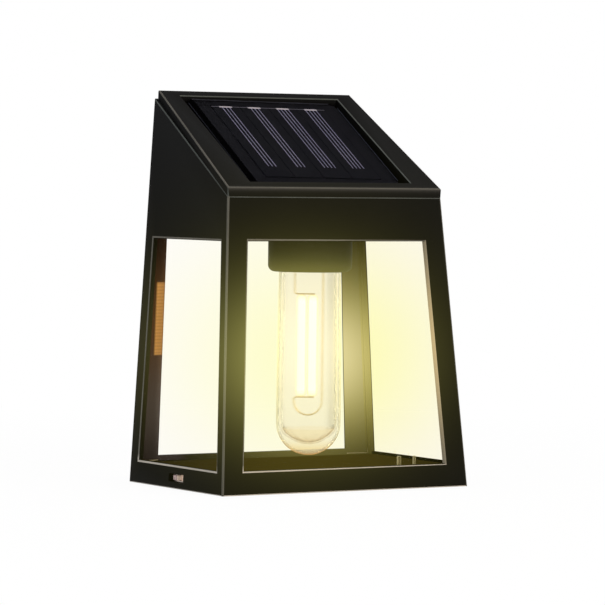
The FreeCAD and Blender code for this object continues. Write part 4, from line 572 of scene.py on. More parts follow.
# %% [markdown]
# ## The tube's glass
# Thick glass bends light, so the tube has the Principled shader's transmission. Its own light washes
# out most of what it bends, so that is mixed with plain transparency, clearer at the filaments'
# height and amber at the foot, where the amber tint is a painted glow. Its rim, seen edge on, is
# painted cream light, brighter at the filaments' height and amber at the foot. The Light Path node
# lets the lamps' light through. The inside of its bottom only shows as a thin brown line, with a
# painted glow.

# %% Glass finishes
FOOT_BAND = (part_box("bulb_glass")[0].z, 3.162 * MM)
MIDDLE_BAND = (-70.0 * MM, 17.15 * MM)
BENDING_SHARE, RIM_SHARE = 0.36, 0.9


def tube_glass():
    finish = Finish("bulb_clear")
    wave = finish.drawn_grain(120.0, (1.0, 1.0, 0.25))
    foot = finish.level(*FOOT_BAND)
    middle = finish.level(*MIDDLE_BAND)
    bending = finish.shader(
        Base_Color=finish.mix(wave, (0.975, 0.955, 0.95), (0.99, 0.975, 0.97)),
        Roughness=0.02 + wave * 0.03,
        Transmission_Weight=1.0,
        IOR=1.1,
        Normal=finish.bump(wave, 0.15, 0.3 * MM),
        Emission_Color=haze(finish, 1.0, (0.03, 0.03, 0.13)),
    )
    # The amber tint at the foot stands for a painted glow at the tip.
    washed = finish.blend(middle, finish.clear(0.955, 0.945, 0.93), finish.clear(0.988, 0.975, 0.98))
    washed = finish.blend(foot, washed, finish.clear(0.9, 0.75, 0.43))
    # The rim is painted light: cream, brighter at the filaments' height, and amber at the foot.
    cream = finish.mix(middle, tone(140, 126, 80), tone(214, 202, 154))
    rim_colour = finish.mix(foot, cream, tone(184, 132, 68))
    rim = finish.shader(
        Base_Color=rim_colour, Roughness=0.2, Emission_Color=rim_colour, Emission_Strength=0.85)
    glass = finish.blend(BENDING_SHARE, washed, bending)
    body = finish.blend(RIM_SHARE * finish.facing() ** 5.0, glass, rim)
    return finish.done(finish.blend(finish.rays("Is Shadow Ray"), body, finish.clear(0.97, 0.96, 0.9)))


def inner_bottom():
    finish = Finish("inner_bottom")
    wave = finish.grain(420.0, 3.0)
    # The thin brown line is given a painted glow.
    brown = finish.mix(wave, tone(92, 68, 32), tone(186, 152, 98))
    line = finish.shader(Base_Color=brown, Roughness=0.3, Emission_Color=brown, Emission_Strength=0.6)
    share = (finish.facing() ** 4.5 * (wave * 1.2 + 0.6)).clipped()
    return finish.done(finish.blend(share, finish.clear(0.97, 0.93, 0.86), line))


bulb_clear = tube_glass()
bulb_floor = inner_bottom()
print("glass that bends", BENDING_SHARE, "of the light")

# %% [markdown]
# ## The solar panel
# A small panel is laminated: dark cells, silver lines printed on them, a solder-masked board behind
# and clear resin cast over all. Each layer is a CAD node with a finish of its own, and the resin is
# only a tint. Bright solder lies on the tabs that join the lines along the top, so a mask repeats at
# the pitch of the cells.

# %% Panel finishes
FIRST_TAB, CELL_PITCH, TAB_REACH = 18.4 * MM, 13.05 * MM, 0.24
SOLDER_LEVEL, SOLDER_SLOPE = 19.9 * MM, 0.0133
BOARD_SIDE, BOARD_FOOT, BOARD_SLOPE = -35.5 * MM, -53.4 * MM, 0.0256
# The width of the painted shadow down the board's left side.
BOARD_SHADE_WIDTH = 4.0 * MM


def plain_finish(name, dark, pale, scale=300.0, rough=0.5, bump=0.1, shine=PLAIN_SHINE):
    """Two shades in fine clouds, with the same clouds in the gloss and in a shallow relief."""
    finish = Finish(name)
    cloud = finish.grain(scale, 3.0)
    relief = finish.bump(cloud, bump, 0.05 * MM)
    colour = finish.mix(cloud, tone(*dark), tone(*pale))
    return finish.done(finish.coat(colour, cloud, rough, 0.12, shine, Normal=relief))


def resin():
    finish = Finish("panel_face")
    thin, thick = finish.clear(0.97, 0.97, 0.99), finish.clear(0.88, 0.88, 0.93)
    return finish.done(finish.blend(finish.grain(45.0), thin, thick))


def wafer():
    finish = Finish("cell_dark")
    sheet = finish.drawn_grain(120.0, (1.0, 0.3, 1.0))
    return finish.done(finish.coat(finish.mix(sheet, tone(8, 8, 9), tone(12, 12, 14)), sheet))


def printed_silver():
    """Silver lines, with brighter solder on the tabs."""
    finish = Finish("silver_print")
    cloud = finish.grain(900.0, 3.0)
    height = finish.axis("Z") + finish.axis("X") * SOLDER_SLOPE
    off_tab = finish.maths("PINGPONG", (finish.axis("X") + FIRST_TAB) * (1 / CELL_PITCH), 0.5)
    silver = finish.mix(cloud, tone(112, 110, 128), tone(146, 144, 160))
    bright = finish.mix(cloud, tone(150, 142, 138), tone(196, 188, 184))
    solder = finish.mix(off_tab.before(TAB_REACH, 0.05), tone(84, 81, 84), bright)
    colour = finish.mix(height.past(SOLDER_LEVEL, 0.25 * MM), silver, solder)
    return finish.done(finish.coat(colour, cloud, 0.4, shine=0.1))


def solder_mask():
    """The board's black mask, which has a darker band of painted shadow down its left side."""
    finish = Finish("panel_backing")
    cloud = finish.grain(60.0, 3.0)
    from_edge = finish.axis("X") - BOARD_SIDE - (finish.axis("Y") - BOARD_FOOT) * BOARD_SLOPE
    mask = finish.coat(finish.mix(cloud, tone(13, 13, 14), tone(17, 17, 18)), cloud, 0.45, 0.12)
    shade_black = finish.node("BsdfDiffuse", {"Color": (0.001, 0.001, 0.001, 1.0)})
    return finish.done(finish.blend(from_edge.before(BOARD_SHADE_WIDTH, 0.4 * MM), mask, shade_black))


panel_face = resin()
# The cover's eased edges take an opaque grey, a painted highlight of their rounding.
resin_edge_highlight = plain_finish("resin_edge_highlight", (46, 47, 52), (62, 63, 70), 60.0, 0.3, 0.0, 0.02)
print("panel finishes, tabs every", round(CELL_PITCH / MM, 2), "mm")

# %% [markdown]
# ## Lamp, wiring and switch
# These are small stock parts. Bare metal is brushed along its length, so its noise is drawn out, and
# plastics are matt. The wires have a painted warm glow, for the filaments' light on them. The
# phosphor is so bright that only its colour shows, and since a flat strip would have hard edges, it
# turns clear where it curves away and at its ends. The knob's colour is painted pinkish for the warm
# light on it, and the side that faces the front is painted paler, with painted light.

# %% Finishes of the small parts
KNOB_FRONT = -36.4 * MM
END_FADE = 3.333 * MM


def phosphor():
    finish = Finish("filament_glow")
    grains = finish.grain(1800.0)
    lit = finish.shader(
        Base_Color=finish.mix(grains, tone(236, 190, 90), tone(250, 214, 120)),
        Roughness=0.6,
        Emission_Color=finish.mix(grains, (1.0, 0.99, 0.98), (1.0, 1.0, 1.04)),
        Emission_Strength=1.25,
    )
    low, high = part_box("filament_strips")
    from_middle = finish.maths("ABSOLUTE", finish.axis("Z") - (low.z + high.z) / 2)
    ends = from_middle.before((high.z - low.z) / 2 + 0.5 * MM, END_FADE)
    share = ((1.0 - finish.facing()) * 1.1).clipped() ** 3.2 * ends
    return finish.done(finish.blend(share, finish.clear(1.0, 0.98, 0.9), lit))


# glow paints warm light on the metal, the filaments' light on the wires.
def drawn_metal(name, dark, pale, rough, along, glow=0.0):
    finish = Finish(name)
    lines = finish.drawn_grain(2200.0, along)
    return finish.done(finish.coat(
        finish.mix(lines, tone(*dark), tone(*pale)), lines, rough, 0.15, PLAIN_SHINE, Metallic=1.0,
        Normal=finish.bump(lines, 0.1, 0.03 * MM),
        Emission_Color=(0.62, 0.46, 0.2), Emission_Strength=glow,
    ))


def knob_skin():
    finish = Finish("knob_white")
    cloud = finish.grain(900.0, 3.0)
    front = finish.axis("Y").before(KNOB_FRONT, 0.1667 * MM)
    # The knob's colours are painted warm light: pinkish on its side, and paler with painted light on
    # the side that faces the front.
    side_colour = finish.mix(cloud, tone(166, 140, 134), tone(204, 178, 170))
    front_lit_colour = finish.mix(cloud, tone(206, 180, 160), tone(232, 206, 184))
    colour = finish.mix(front, side_colour, front_lit_colour)
    light = finish.mix(front, BLACK, (0.17, 0.13, 0.10))
    return finish.done(finish.coat(colour, cloud, 0.4, 0.12, PLAIN_SHINE, Emission_Color=light))


print("knob's front side before", round(KNOB_FRONT / MM, 1), "mm")

# %% [markdown]
# ## Dress the nodes
# The record gives each node a material slot, so one table from slot to finish dresses the whole
# frame. Four nodes stand by the lamp and get a finish that knows its light.

# %% Dress the nodes
# Plain finishes: dark and pale shade, the clouds' scale, roughness, relief, shine
PLAIN = {
    "foam_grey": ((92, 92, 96), (124, 124, 128), 2600.0, 0.85, 0.7, 0.1),
    "board_green": ((28, 92, 50), (44, 118, 66), 700.0, 0.3),
    "chip_black": ((34, 34, 35), (48, 48, 50), 3000.0, 0.6),
    "ferrite_grey": ((84, 84, 86), (104, 104, 106), 4000.0, 0.7, 0.4),
    "can_sleeve": ((56, 66, 98), (70, 80, 112), 500.0, 0.25),
    "battery_wrap": ((82, 144, 116), (98, 160, 130), 200.0, 0.25),
    "switch_phenolic": ((112, 82, 60), (140, 104, 78), 1200.0, 0.6),
    "lead_insulation": ((150, 40, 34), (174, 54, 44), 400.0, 0.45),
}
# Metals: dark and pale shade, roughness, the lines' stretch, glow, which is painted warm light
METALS = {
    "wire_nickel": ((150, 140, 120), (190, 180, 160), 0.25, (1.0, 1.0, 0.05), 0.6),
    "steel_zinc": ((170, 170, 172), (205, 205, 208), 0.3, (1.0, 1.0, 0.3)),
    "contact_nickel": ((188, 172, 162), (222, 208, 198), 0.25, (0.1, 1.0, 1.0)),
}
FINISHES = {
    "case_black": case_black,
    "clear_pane": clear_pane,
    "panel_face": panel_face,
    "panel_backing": solder_mask(),
    "cell_dark": wafer(),
    "silver_print": printed_silver(),
    "bulb_clear": bulb_clear,
    "filament_glow": phosphor(),
    "knob_white": knob_skin(),
}
FINISHES.update({name: plain_finish(name, *look) for name, look in PLAIN.items()})
FINISHES.update({name: drawn_metal(name, *look) for name, look in METALS.items()})
NEAR_LAMP = {
    "back_frame": lit_black, "base_plate": floor_black,
    "front_pane": clear_front, "right_pane": clear_right,
}
for subpart in frame["record"]["subparts"]:
    finish_wanted = NEAR_LAMP.get(subpart["node"], FINISHES[subpart["material_slot"]])
    for material_slot in nodes[subpart["node"]].material_slots:
        material_slot.material = finish_wanted
print(len(FINISHES), "finishes on", len(nodes), "nodes")

# %% [markdown]
# ## Working by hand, in code
# Every new piece below is modelled with Blender's own operators. A few helpers do what the hand
# does between them: start a piece, pick the faces or edges to work on, and hand it to its body.

# %% Helpers for modelling
def choose(piece):
    """Select this piece alone."""
    bpy.ops.object.select_all(action="DESELECT")
    piece.select_set(True)
    bpy.context.view_layer.objects.active = piece


def named(piece, name):
    piece.name = name
    piece.data.name = name
    return piece


def copy_of(original, name):
    """A copy with a mesh of its own."""
    choose(original)
    bpy.ops.object.duplicate()
    return named(bpy.context.object, name)


def start(name, primitive, **options):
    """Add a primitive at its size and place, and open it in edit mode."""
    bpy.ops.object.select_all(action="DESELECT")
    primitive(**options)
    piece = named(bpy.context.object, name)
    bpy.ops.object.transform_apply()
    bpy.ops.object.mode_set(mode="EDIT")
    return piece


def pick(piece, kind, wanted):
    """Select the vertices, edges or faces for which wanted(element) is true; returns their number."""
    bpy.ops.mesh.select_mode(type={"verts": "VERT", "edges": "EDGE", "faces": "FACE"}[kind])
    bpy.ops.mesh.select_all(action="DESELECT")
    mesh = bmesh.from_edit_mesh(piece.data)
    chosen = [element for element in getattr(mesh, kind) if wanted(element)]
    for element in chosen:
        element.select_set(True)
    mesh.select_flush_mode()
    bmesh.update_edit_mesh(piece.data)
    return len(chosen)


def paint_picked(piece, index):
    """Give what is selected the piece's material of that number."""
    piece.active_material_index = index
    bpy.ops.object.material_slot_assign()


def close(piece):
    """Leave edit mode."""
    bpy.ops.object.mode_set(mode="OBJECT")
    return piece


def smooth(piece, angle=35.0):
    choose(piece)
    bpy.ops.object.shade_smooth_by_angle(angle=math.radians(angle))


def fit(piece, finish_slot, replaced=()):
    """Give a finished piece its finish, the lantern as its body, and the nodes it stands for."""
    piece.data.materials.clear()
    piece.data.materials.append(FINISHES[finish_slot])
    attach(piece, "lantern")
    if replaced:
        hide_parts(*replaced)
    print(piece.name, len(piece.data.polygons), "faces")

# %% Helpers for drawn and turned pieces
def drawn_path(name, points):
    """A bare line of vertices through the points: one vertex, drawn on from point to point."""
    piece = start(name, bpy.ops.mesh.primitive_plane_add, size=1.0)
    pick(piece, "verts", lambda v: v.index > 0)
    bpy.ops.mesh.delete(type="VERT")
    bpy.ops.mesh.select_all(action="SELECT")
    mesh = bmesh.from_edit_mesh(piece.data)
    mesh.verts.ensure_lookup_table()
    bpy.ops.transform.translate(value=Vector(points[0]) - mesh.verts[0].co)
    for here, there in zip(points, points[1:]):
        step = Vector(there) - Vector(here)
        bpy.ops.mesh.extrude_region_move(TRANSFORM_OT_translate={"value": step})
    return piece


def turned(name, profile, x, y, steps=96):
    """A lathe-turned piece: the profile of (radius, height) points, spun about the upright axis."""
    piece = drawn_path(name, [(x + radius, y, height) for radius, height in profile])
    bpy.ops.mesh.select_all(action="SELECT")
    bpy.ops.mesh.spin(steps=steps, angle=math.tau, center=(x, y, 0), axis=(0, 0, 1))
    bpy.ops.mesh.select_all(action="SELECT")
    bpy.ops.mesh.remove_doubles(threshold=0.002 * MM)
    bpy.ops.mesh.normals_make_consistent(inside=False)
    return close(piece)


def arc(across_to, up_to, radius, first, last, steps):
    """Points of a rounded corner about a centre, angles in degrees from straight out."""
    turn = [math.radians(first + (last - first) * i / steps) for i in range(steps + 1)]
    return [(across_to + radius * math.cos(t), up_to + radius * math.sin(t)) for t in turn]


print("a quarter circle in 4 steps has", len(arc(0.0, 0.0, 1.0, 0.0, 90.0, 4)), "points")

# %% [markdown]
# ## Eased edges
# No moulding has razor edges: the mould maker breaks each one by a few tenths of a millimetre, and
# the narrow bevel catches light as a thin pale line. A bevel shader would only fake it in the
# render, so the edges are cut for real. Each large moulding is copied, its loose triangles are
# merged into whole faces, and its raised outer edges get the bevel, whose new faces take a second
# material, the same plastic with a painted pale highlight.

# %% Which edges are eased
SHARP = math.radians(28.0)
SHORTEST = 2.5 * MM
SWITCH_PLACE = (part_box("switch_shell")[0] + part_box("switch_shell")[1]) / 2
SWITCH_REACH, SWITCH_EDGE = 9.0 * MM, 12.0 * MM
CASE_CENTRE = Vector((0, -36.0 * MM, -60.0 * MM))
FRONT_FROM = -58.0 * MM
WINDOW_RIGHT = (38.0 * MM, 48.0 * MM)
RECESS_SIDE, RECESS_FRONT, RECESS_BACK = 36.8 * MM, -9.5 * MM, 24.0 * MM


def middle_of(edge):
    return (edge.verts[0].co + edge.verts[1].co) / 2


def raised(edge):
    """True for a sharp edge that sticks out from the case's centre, but not at the switch, nor
    the front window's upright edge at the right, which the photograph shows sharp."""
    if len(edge.link_faces) != 2 or not edge.is_convex or edge.calc_length() < SHORTEST:
        return False
    if edge.calc_face_angle(0.0) < SHARP:
        return False
    middle = middle_of(edge)
    if (middle - SWITCH_PLACE).length < SWITCH_REACH and edge.calc_length() < SWITCH_EDGE:
        return False
    run = (edge.verts[0].co - edge.verts[1].co).normalized()
    if abs(run.z) > 0.9 and WINDOW_RIGHT[0] < middle.x < WINDOW_RIGHT[1] and middle.y < FRONT_FROM:
        return False
    outwards = edge.link_faces[0].normal + edge.link_faces[1].normal
    return outwards.dot(middle - CASE_CENTRE) > 0


def roof_edge(edge):
    """True for the roof's raised edges, but not round the panel's recess, which is chamfered."""
    middle = middle_of(edge)
    at_side = abs(abs(middle.x) - RECESS_SIDE) < 0.5 * MM
    at_front = middle.y < FRONT_FROM and middle.z > RECESS_FRONT
    at_back = middle.y > -4.0 * MM and middle.z > RECESS_BACK
    return raised(edge) and not at_side and not at_front and not at_back


def cover_rim(edge):
    """True for the long outer edges on the cover's upper side."""
    outwards = (edge.link_faces[0].normal + edge.link_faces[-1].normal).normalized()
    return edge.is_convex and edge.calc_length() > 50.0 * MM and outwards.z > 0.3


print("edges sharper than", round(math.degrees(SHARP)), "degrees")

# %% [markdown]
# Some faces of a moulding look different from the rest: corners that the CAD part already rounds,
# which get a painted highlight, the side of the window that faces the tube, painted lit, the lamp
# chamber's floor, painted warm with the lamp's light, and the panel's recess, in painted shade. They
# are told apart by their size, place and normal, so no face is picked by its number.

# %% Which faces get another finish
ROOF_NORMAL = Vector((0.0, -0.52, 0.854))
LONG = 40.0 * MM


def longest_edge(face):
    return max(edge.calc_length() for edge in face.edges)


def rounded_corner(face):
    """True for the long, narrow facets of a corner that the CAD part already rounds."""
    longest = longest_edge(face)
    return longest > LONG and face.calc_area() / longest < 0.45 * MM


def bright_reveal(face):
    """True for the cut face of the front window's right side, which looks towards the lamp."""
    middle = face.calc_center_median()
    towards_lamp = face.normal.x < -0.6 and middle.x > WINDOW_RIGHT[0] and middle.y < FRONT_FROM
    return longest_edge(face) > LONG and towards_lamp


def chamber_floor(face):
    return face.normal.z > 0.9 and -121.0 * MM < face.calc_center_median().z < -118.0 * MM


def recess_wall(face):
    """True for what lies inside the recess, under the roof's top plane."""
    middle = face.calc_center_median()
    within = abs(middle.x) < RECESS_SIDE + 0.1 * MM and -58.9 * MM < middle.y < -3.4 * MM
    return within and (ROOF_NOSE - middle).dot(ROOF_NORMAL) > 0.8 * MM


def recess_rim(face):
    """True for the chamfer at the right and the back of the panel's recess."""
    longest = longest_edge(face)
    middle = face.calc_center_median()
    narrow = 0.3 * MM < face.calc_area() / longest < 0.7 * MM
    at_right = abs(middle.x - RECESS_SIDE) < 0.75 * MM
    return longest > 1.5 * LONG and narrow and (at_right or middle.z > RECESS_BACK)


print("the roof leans", round(math.degrees(ROOF_NORMAL.angle(Vector((0, 0, 1))))), "degrees")

# %% Ease the mouldings
CASE_EASE, ROOF_EASE = 0.36 * MM, 0.55 * MM


def eased(node, name, width, materials, wanted, body="lantern", special=()):
    """A copy of a CAD node with real bevels on the edges that wanted(edge) picks. The bevels get
    the second material, and special tells which faces get the third and the next ones."""
    piece = copy_of(nodes[node], name)
    piece.data.materials.clear()
    for material in materials:
        piece.data.materials.append(material)
    bpy.ops.object.mode_set(mode="EDIT")
    bpy.ops.mesh.select_all(action="SELECT")
    bpy.ops.mesh.remove_doubles(threshold=0.001 * MM)
    bpy.ops.mesh.dissolve_limited(angle_limit=math.radians(0.5))
    for index, wanted_faces in enumerate(special, 2):
        pick(piece, "faces", wanted_faces)
        paint_picked(piece, index)
    count = pick(piece, "edges", wanted)
    bpy.ops.mesh.bevel(offset=width, segments=2, affect="EDGES", material=1, clamp_overlap=False)
    close(piece)
    smooth(piece, 30.0)
    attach(piece, body)
    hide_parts(node)
    print(name, "has", count, "eased edges and", len(piece.data.polygons), "faces")
    return piece


eased(
    "lantern_housing", "eased_housing", CASE_EASE,
    (case_black, eased_highlight, corner_highlight, reveal_lit, floor_black), raised,
    special=(rounded_corner, bright_reveal, chamber_floor),
)
roof = eased(
    "roof_frame", "eased_roof", ROOF_EASE,
    (roof_black, eased_highlight, corner_highlight, recess_shade), roof_edge, special=(rounded_corner,),
)
bpy.ops.object.mode_set(mode="EDIT")
# The faces inside the recess take the painted shade.
print(pick(roof, "faces", recess_wall), "faces inside the recess")
paint_picked(roof, 3)
print(pick(roof, "faces", recess_rim), "faces of the recess's rim")
paint_picked(roof, 1)
close(roof)
eased("base_plate", "eased_base", CASE_EASE, (floor_black, eased_highlight), raised)
eased("back_frame", "eased_back", CASE_EASE, (lit_black, eased_lit_highlight), raised)

# %% [markdown]
# The resin over the panel is cast, so its outer edges are round as well, and they take a painted
# grey highlight. Its underside lies on the cells, and two faces in one place would speckle, so that
# side is lifted by a hair.

# %% Ease the cover
COVER_EASE = 0.5 * MM
COVER_LIFT = ROOF_NORMAL * 0.02 * MM

cover = eased(
    "panel_cover", "eased_cover", COVER_EASE, (panel_face, resin_edge_highlight), cover_rim)
bpy.ops.object.mode_set(mode="EDIT")
pick(cover, "faces", lambda f: f.normal.dot(COVER_LIFT) < -0.9 * COVER_LIFT.length)
bpy.ops.transform.translate(value=COVER_LIFT)
close(cover)

# %% [markdown]
# ## The glass tube
# The bulb is a test tube, a little wider towards its foot, with a ball end and a thick, uneven
# bottom, where the hot glass ran together. A tube is turned on a lathe, so its profile, outside and
# inside in one line, is spun about the bulb's axis. Then the inner bottom's vertices are moved at
# random and smoothed, which gives the slow waves of run glass.

# %% Turn the glass
BULB_X, BULB_Y = 0.0, -43.5 * MM
glass_low, glass_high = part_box("bulb_glass")
TUBE_TIP, TUBE_RIM = glass_low.z, glass_high.z
TUBE_RADIUS = (glass_high.x - glass_low.x) / 2
TUBE_WALL = 1.6 * MM
TUBE_NECK = TUBE_RADIUS - 0.5 * MM
NECK_FOOT, BODY_TOP = TUBE_RIM - 10 * MM, TUBE_TIP + 26 * MM
INNER_BALL, BALL_SQUASH = TUBE_RADIUS - TUBE_WALL, 0.82
BOTTOM_GLASS = 5.0 * MM
WAVE_HEIGHT, WAVE_SEED = 1.6 * MM, 4

outside = [(TUBE_NECK, TUBE_RIM), (TUBE_NECK, NECK_FOOT), (TUBE_RADIUS, BODY_TOP)]
outside += arc(0.0, TUBE_TIP + TUBE_RADIUS, TUBE_RADIUS, 0.0, -90.0, 20)
inside = [(radius - TUBE_WALL, height) for radius, height in outside[:3]]
inner_base = TUBE_TIP + BOTTOM_GLASS + INNER_BALL * BALL_SQUASH
ball = arc(0.0, 0.0, INNER_BALL, 0.0, -90.0, 16)
inside += [(radius, inner_base + drop * BALL_SQUASH) for radius, drop in ball]
bulb = turned("bulb_tube", outside[::-1] + inside, BULB_X, BULB_Y)


def inner_floor(vertex):
    """True for the inner bottom's vertices, but not for those on the tube's outside."""
    from_ball = (vertex.co - Vector((BULB_X, BULB_Y, TUBE_TIP + TUBE_RADIUS))).length
    return vertex.co.z < inner_base - 3.0 * MM and from_ball < TUBE_RADIUS - 0.5 * MM


bpy.ops.object.mode_set(mode="EDIT")
print("inner bottom has", pick(bulb, "verts", inner_floor), "vertices")
bpy.ops.transform.vertex_random(offset=WAVE_HEIGHT, seed=WAVE_SEED)
bpy.ops.mesh.vertices_smooth(factor=0.5, repeat=7)
close(bulb)
smooth(bulb, 40.0)
fit(bulb, "bulb_clear", ["bulb_glass"])
bulb.data.materials.append(bulb_floor)
bpy.ops.object.mode_set(mode="EDIT")
pick(bulb, "verts", inner_floor)
paint_picked(bulb, 1)
close(bulb)

# %% [markdown]
# ## Wires
# A bent wire holds the filaments from above, and another loops under them. Both lie in the
# filaments' own plane, which is turned a little to face forwards. A wire could be spun or skinned,
# but it is simplest drawn as a line, given its thickness as a curve, and made a mesh again.

# %% Bend the wires
wire_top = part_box("support_wires")[1].z
strip_low, strip_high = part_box("filament_strips")
TURN = math.radians(-31.6)
WIRE_RADIUS, WIRE_BEND = 0.25 * MM, 0.9 * MM
LEFT_WIRE, RIGHT_WIRE = -5.8 * MM, 5.2 * MM
LEFT_STRIP, RIGHT_STRIP = -3.1 * MM, 1.3 * MM
WIRE_END = RIGHT_STRIP + 0.8 * MM
HANG, CARRY = strip_high.z + WIRE_RADIUS, strip_low.z - WIRE_RADIUS
LOOP_LEVEL = strip_low.z - 2 * WIRE_BEND
LOOP_RADIUS = (RIGHT_WIRE - LEFT_WIRE) / 2
LOOP_MIDDLE = (RIGHT_WIRE + LEFT_WIRE) / 2


def in_plane(offset, height):
    """A point in the filaments' plane: sideways from the bulb's axis, and up."""
    return (BULB_X + offset * math.cos(TURN), BULB_Y + offset * math.sin(TURN), height)


def wire(name, points):
    """A wire through points of the filaments' plane."""
    piece = close(drawn_path(name, [in_plane(*point) for point in points]))
    bpy.ops.object.convert(target="CURVE")
    piece.data.dimensions = "3D"
    piece.data.bevel_depth = WIRE_RADIUS
    piece.data.bevel_resolution = 4
    piece.data.use_fill_caps = True
    bpy.ops.object.convert(target="MESH")
    smooth(piece, 60.0)
    fit(piece, "wire_nickel", ["support_wires"])


hanger_bend = arc(LEFT_WIRE + WIRE_BEND, HANG + WIRE_BEND, WIRE_BEND, 180.0, 270.0, 6)
wire("hanging_wire", [(LEFT_WIRE, wire_top), *hanger_bend, (WIRE_END, HANG)])
loop = arc(LOOP_MIDDLE, LOOP_LEVEL, LOOP_RADIUS, 0.0, -180.0, 24)
carrier_bend = arc(LEFT_WIRE + WIRE_BEND, CARRY - WIRE_BEND, WIRE_BEND, 180.0, 90.0, 6)
wire("carrying_wire", [(RIGHT_WIRE, wire_top), *loop, *carrier_bend, (WIRE_END, CARRY)])

# %% [markdown]
# ## Filaments
# Two strips of tiny chips under yellow phosphor stand side by side. The coating is dabbed on and
# has no hard edge, so each strip is a block that is bevelled until it is nearly a rod.

# %% Coat the filaments
STRIP_WIDTH, STRIP_DEPTH, COATING = 1.9 * MM, 0.9 * MM, 2.0 * MM
STRIP_ROUND = 1.4 * MM

for name, offset in (("left_filament", LEFT_STRIP), ("right_filament", RIGHT_STRIP)):
    strip = start(
        name, bpy.ops.mesh.primitive_cube_add, size=1.0, rotation=(0, 0, TURN),
        location=in_plane(offset, (strip_low.z + strip_high.z) / 2),
        scale=(STRIP_WIDTH + COATING, STRIP_DEPTH + COATING, strip_high.z - strip_low.z),
    )
    bpy.ops.mesh.select_all(action="SELECT")
    bpy.ops.mesh.bevel(offset=STRIP_ROUND, segments=8, affect="EDGES")
    close(strip)
    smooth(strip)
    fit(strip, "filament_glow", ["filament_strips"])

# %% [markdown]
# ## The socket
# A turned cup holds the tube's rim. Its lower edge is rounded so generously that the light from
# the tube rolls over it, which a chamfer can't show. The profile ends where it began, so the
# spun wall is closed round the wires' hole too.

# %% Turn the socket
cup_low, cup_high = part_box("bulb_socket")
CUP_RADIUS = (cup_high.x - cup_low.x) / 2
CUP_BORE = TUBE_RADIUS + 0.1 * MM
CUP_FLOOR = cup_high.z - 2.7 * MM
OUTER_LIP, INNER_LIP = 2.6 * MM, 0.5 * MM
WIRE_HOLE = 4.0 * MM

cup_profile = [(WIRE_HOLE, cup_high.z), (CUP_RADIUS, cup_high.z)]
cup_profile += arc(CUP_RADIUS - OUTER_LIP, cup_low.z + OUTER_LIP, OUTER_LIP, 0.0, -90.0, 12)
cup_profile += arc(CUP_BORE + INNER_LIP, cup_low.z + INNER_LIP, INNER_LIP, -90.0, -180.0, 4)
cup_profile += [(CUP_BORE, CUP_FLOOR), (WIRE_HOLE, CUP_FLOOR), (WIRE_HOLE, cup_high.z)]
cup = turned("socket_cup", cup_profile, BULB_X, BULB_Y)
smooth(cup, 40.0)
fit(cup, "case_black", ["bulb_socket"])
cup.data.materials[0] = cup_black

# %% [markdown]
# ## Snap lugs
# Two clear lugs at the foot of the front pane hold it down in its seat. Each is a block with a
# hollow in its face, pushed in by an inset, and rounded edges, and it shows mostly by its edges.

# %% Add the pane's lugs
LUG_TOP, LUG_FOOT = -115.6 * MM, -119.75 * MM
LUG_FRONT, LUG_DEPTH = -68.2 * MM, 1.0 * MM
LUG_FRAME, LUG_HOLLOW, LUG_EASE = 0.28 * MM, 0.3 * MM, 0.2 * MM
LUGS = {"pane_lug_left": (27.0 * MM, 1.5 * MM), "pane_lug_right": (34.1 * MM, 1.0 * MM)}

for name, (x, width) in LUGS.items():
    lug = start(
        name, bpy.ops.mesh.primitive_cube_add, size=1.0,
        location=(x, LUG_FRONT + LUG_DEPTH / 2, (LUG_TOP + LUG_FOOT) / 2),
        scale=(width, LUG_DEPTH, LUG_TOP - LUG_FOOT),
    )
    pick(lug, "faces", lambda f: f.normal.y < -0.9)
    bpy.ops.mesh.inset(thickness=LUG_FRAME, depth=-LUG_HOLLOW)
    pick(lug, "edges", lambda e: e.is_convex)
    bpy.ops.mesh.bevel(offset=LUG_EASE, segments=2, affect="EDGES")
    close(lug)
    smooth(lug, 30.0)
    fit(lug, "clear_pane")
    lug.data.materials[0] = clear_lug

# %% [markdown]
# ## Screws with a cross recess
# The case is held by small pan-head screws. One is turned like the tube, and a boolean cuts the
# cross out of its head, as the punch does in steel. The others are copies of it, each with a mesh of
# its own. A true helix would be hidden in the plastic, so the shank has rings.

# %% Turn one screw
SCREW_HEAD, SCREW_SHANK = 1.9 * MM, 1.0 * MM
HEAD_HEIGHT, HEAD_ROUND, SCREW_LENGTH = 0.9 * MM, 0.35 * MM, 6.0 * MM
PLAIN_SHANK, THREAD_STEP, THREAD_DEPTH = 0.4 * MM, 0.7 * MM, 0.14 * MM
RECESS_WIDTH, RECESS_LENGTH, RECESS_DEPTH = 0.5 * MM, 2.2 * MM, 0.6 * MM


def screw_profile():
    """Half of the screw's outline, head down: a rounded rim, then a shank with shallow grooves."""
    points = [(0.0, 0.0), (SCREW_HEAD - HEAD_ROUND, 0.0)]
    points += reversed(arc(SCREW_HEAD - HEAD_ROUND, HEAD_ROUND, HEAD_ROUND, 0.0, -60.0, 4))
    points += [(SCREW_HEAD, HEAD_HEIGHT), (SCREW_SHANK, HEAD_HEIGHT)]
    height = HEAD_HEIGHT + PLAIN_SHANK
    while height < SCREW_LENGTH - THREAD_STEP:
        points += [(SCREW_SHANK, height), (SCREW_SHANK - THREAD_DEPTH, height + THREAD_STEP / 2)]
        height += THREAD_STEP
    return points + [(SCREW_SHANK, height), (SCREW_SHANK * 0.4, SCREW_LENGTH), (0.0, SCREW_LENGTH)]


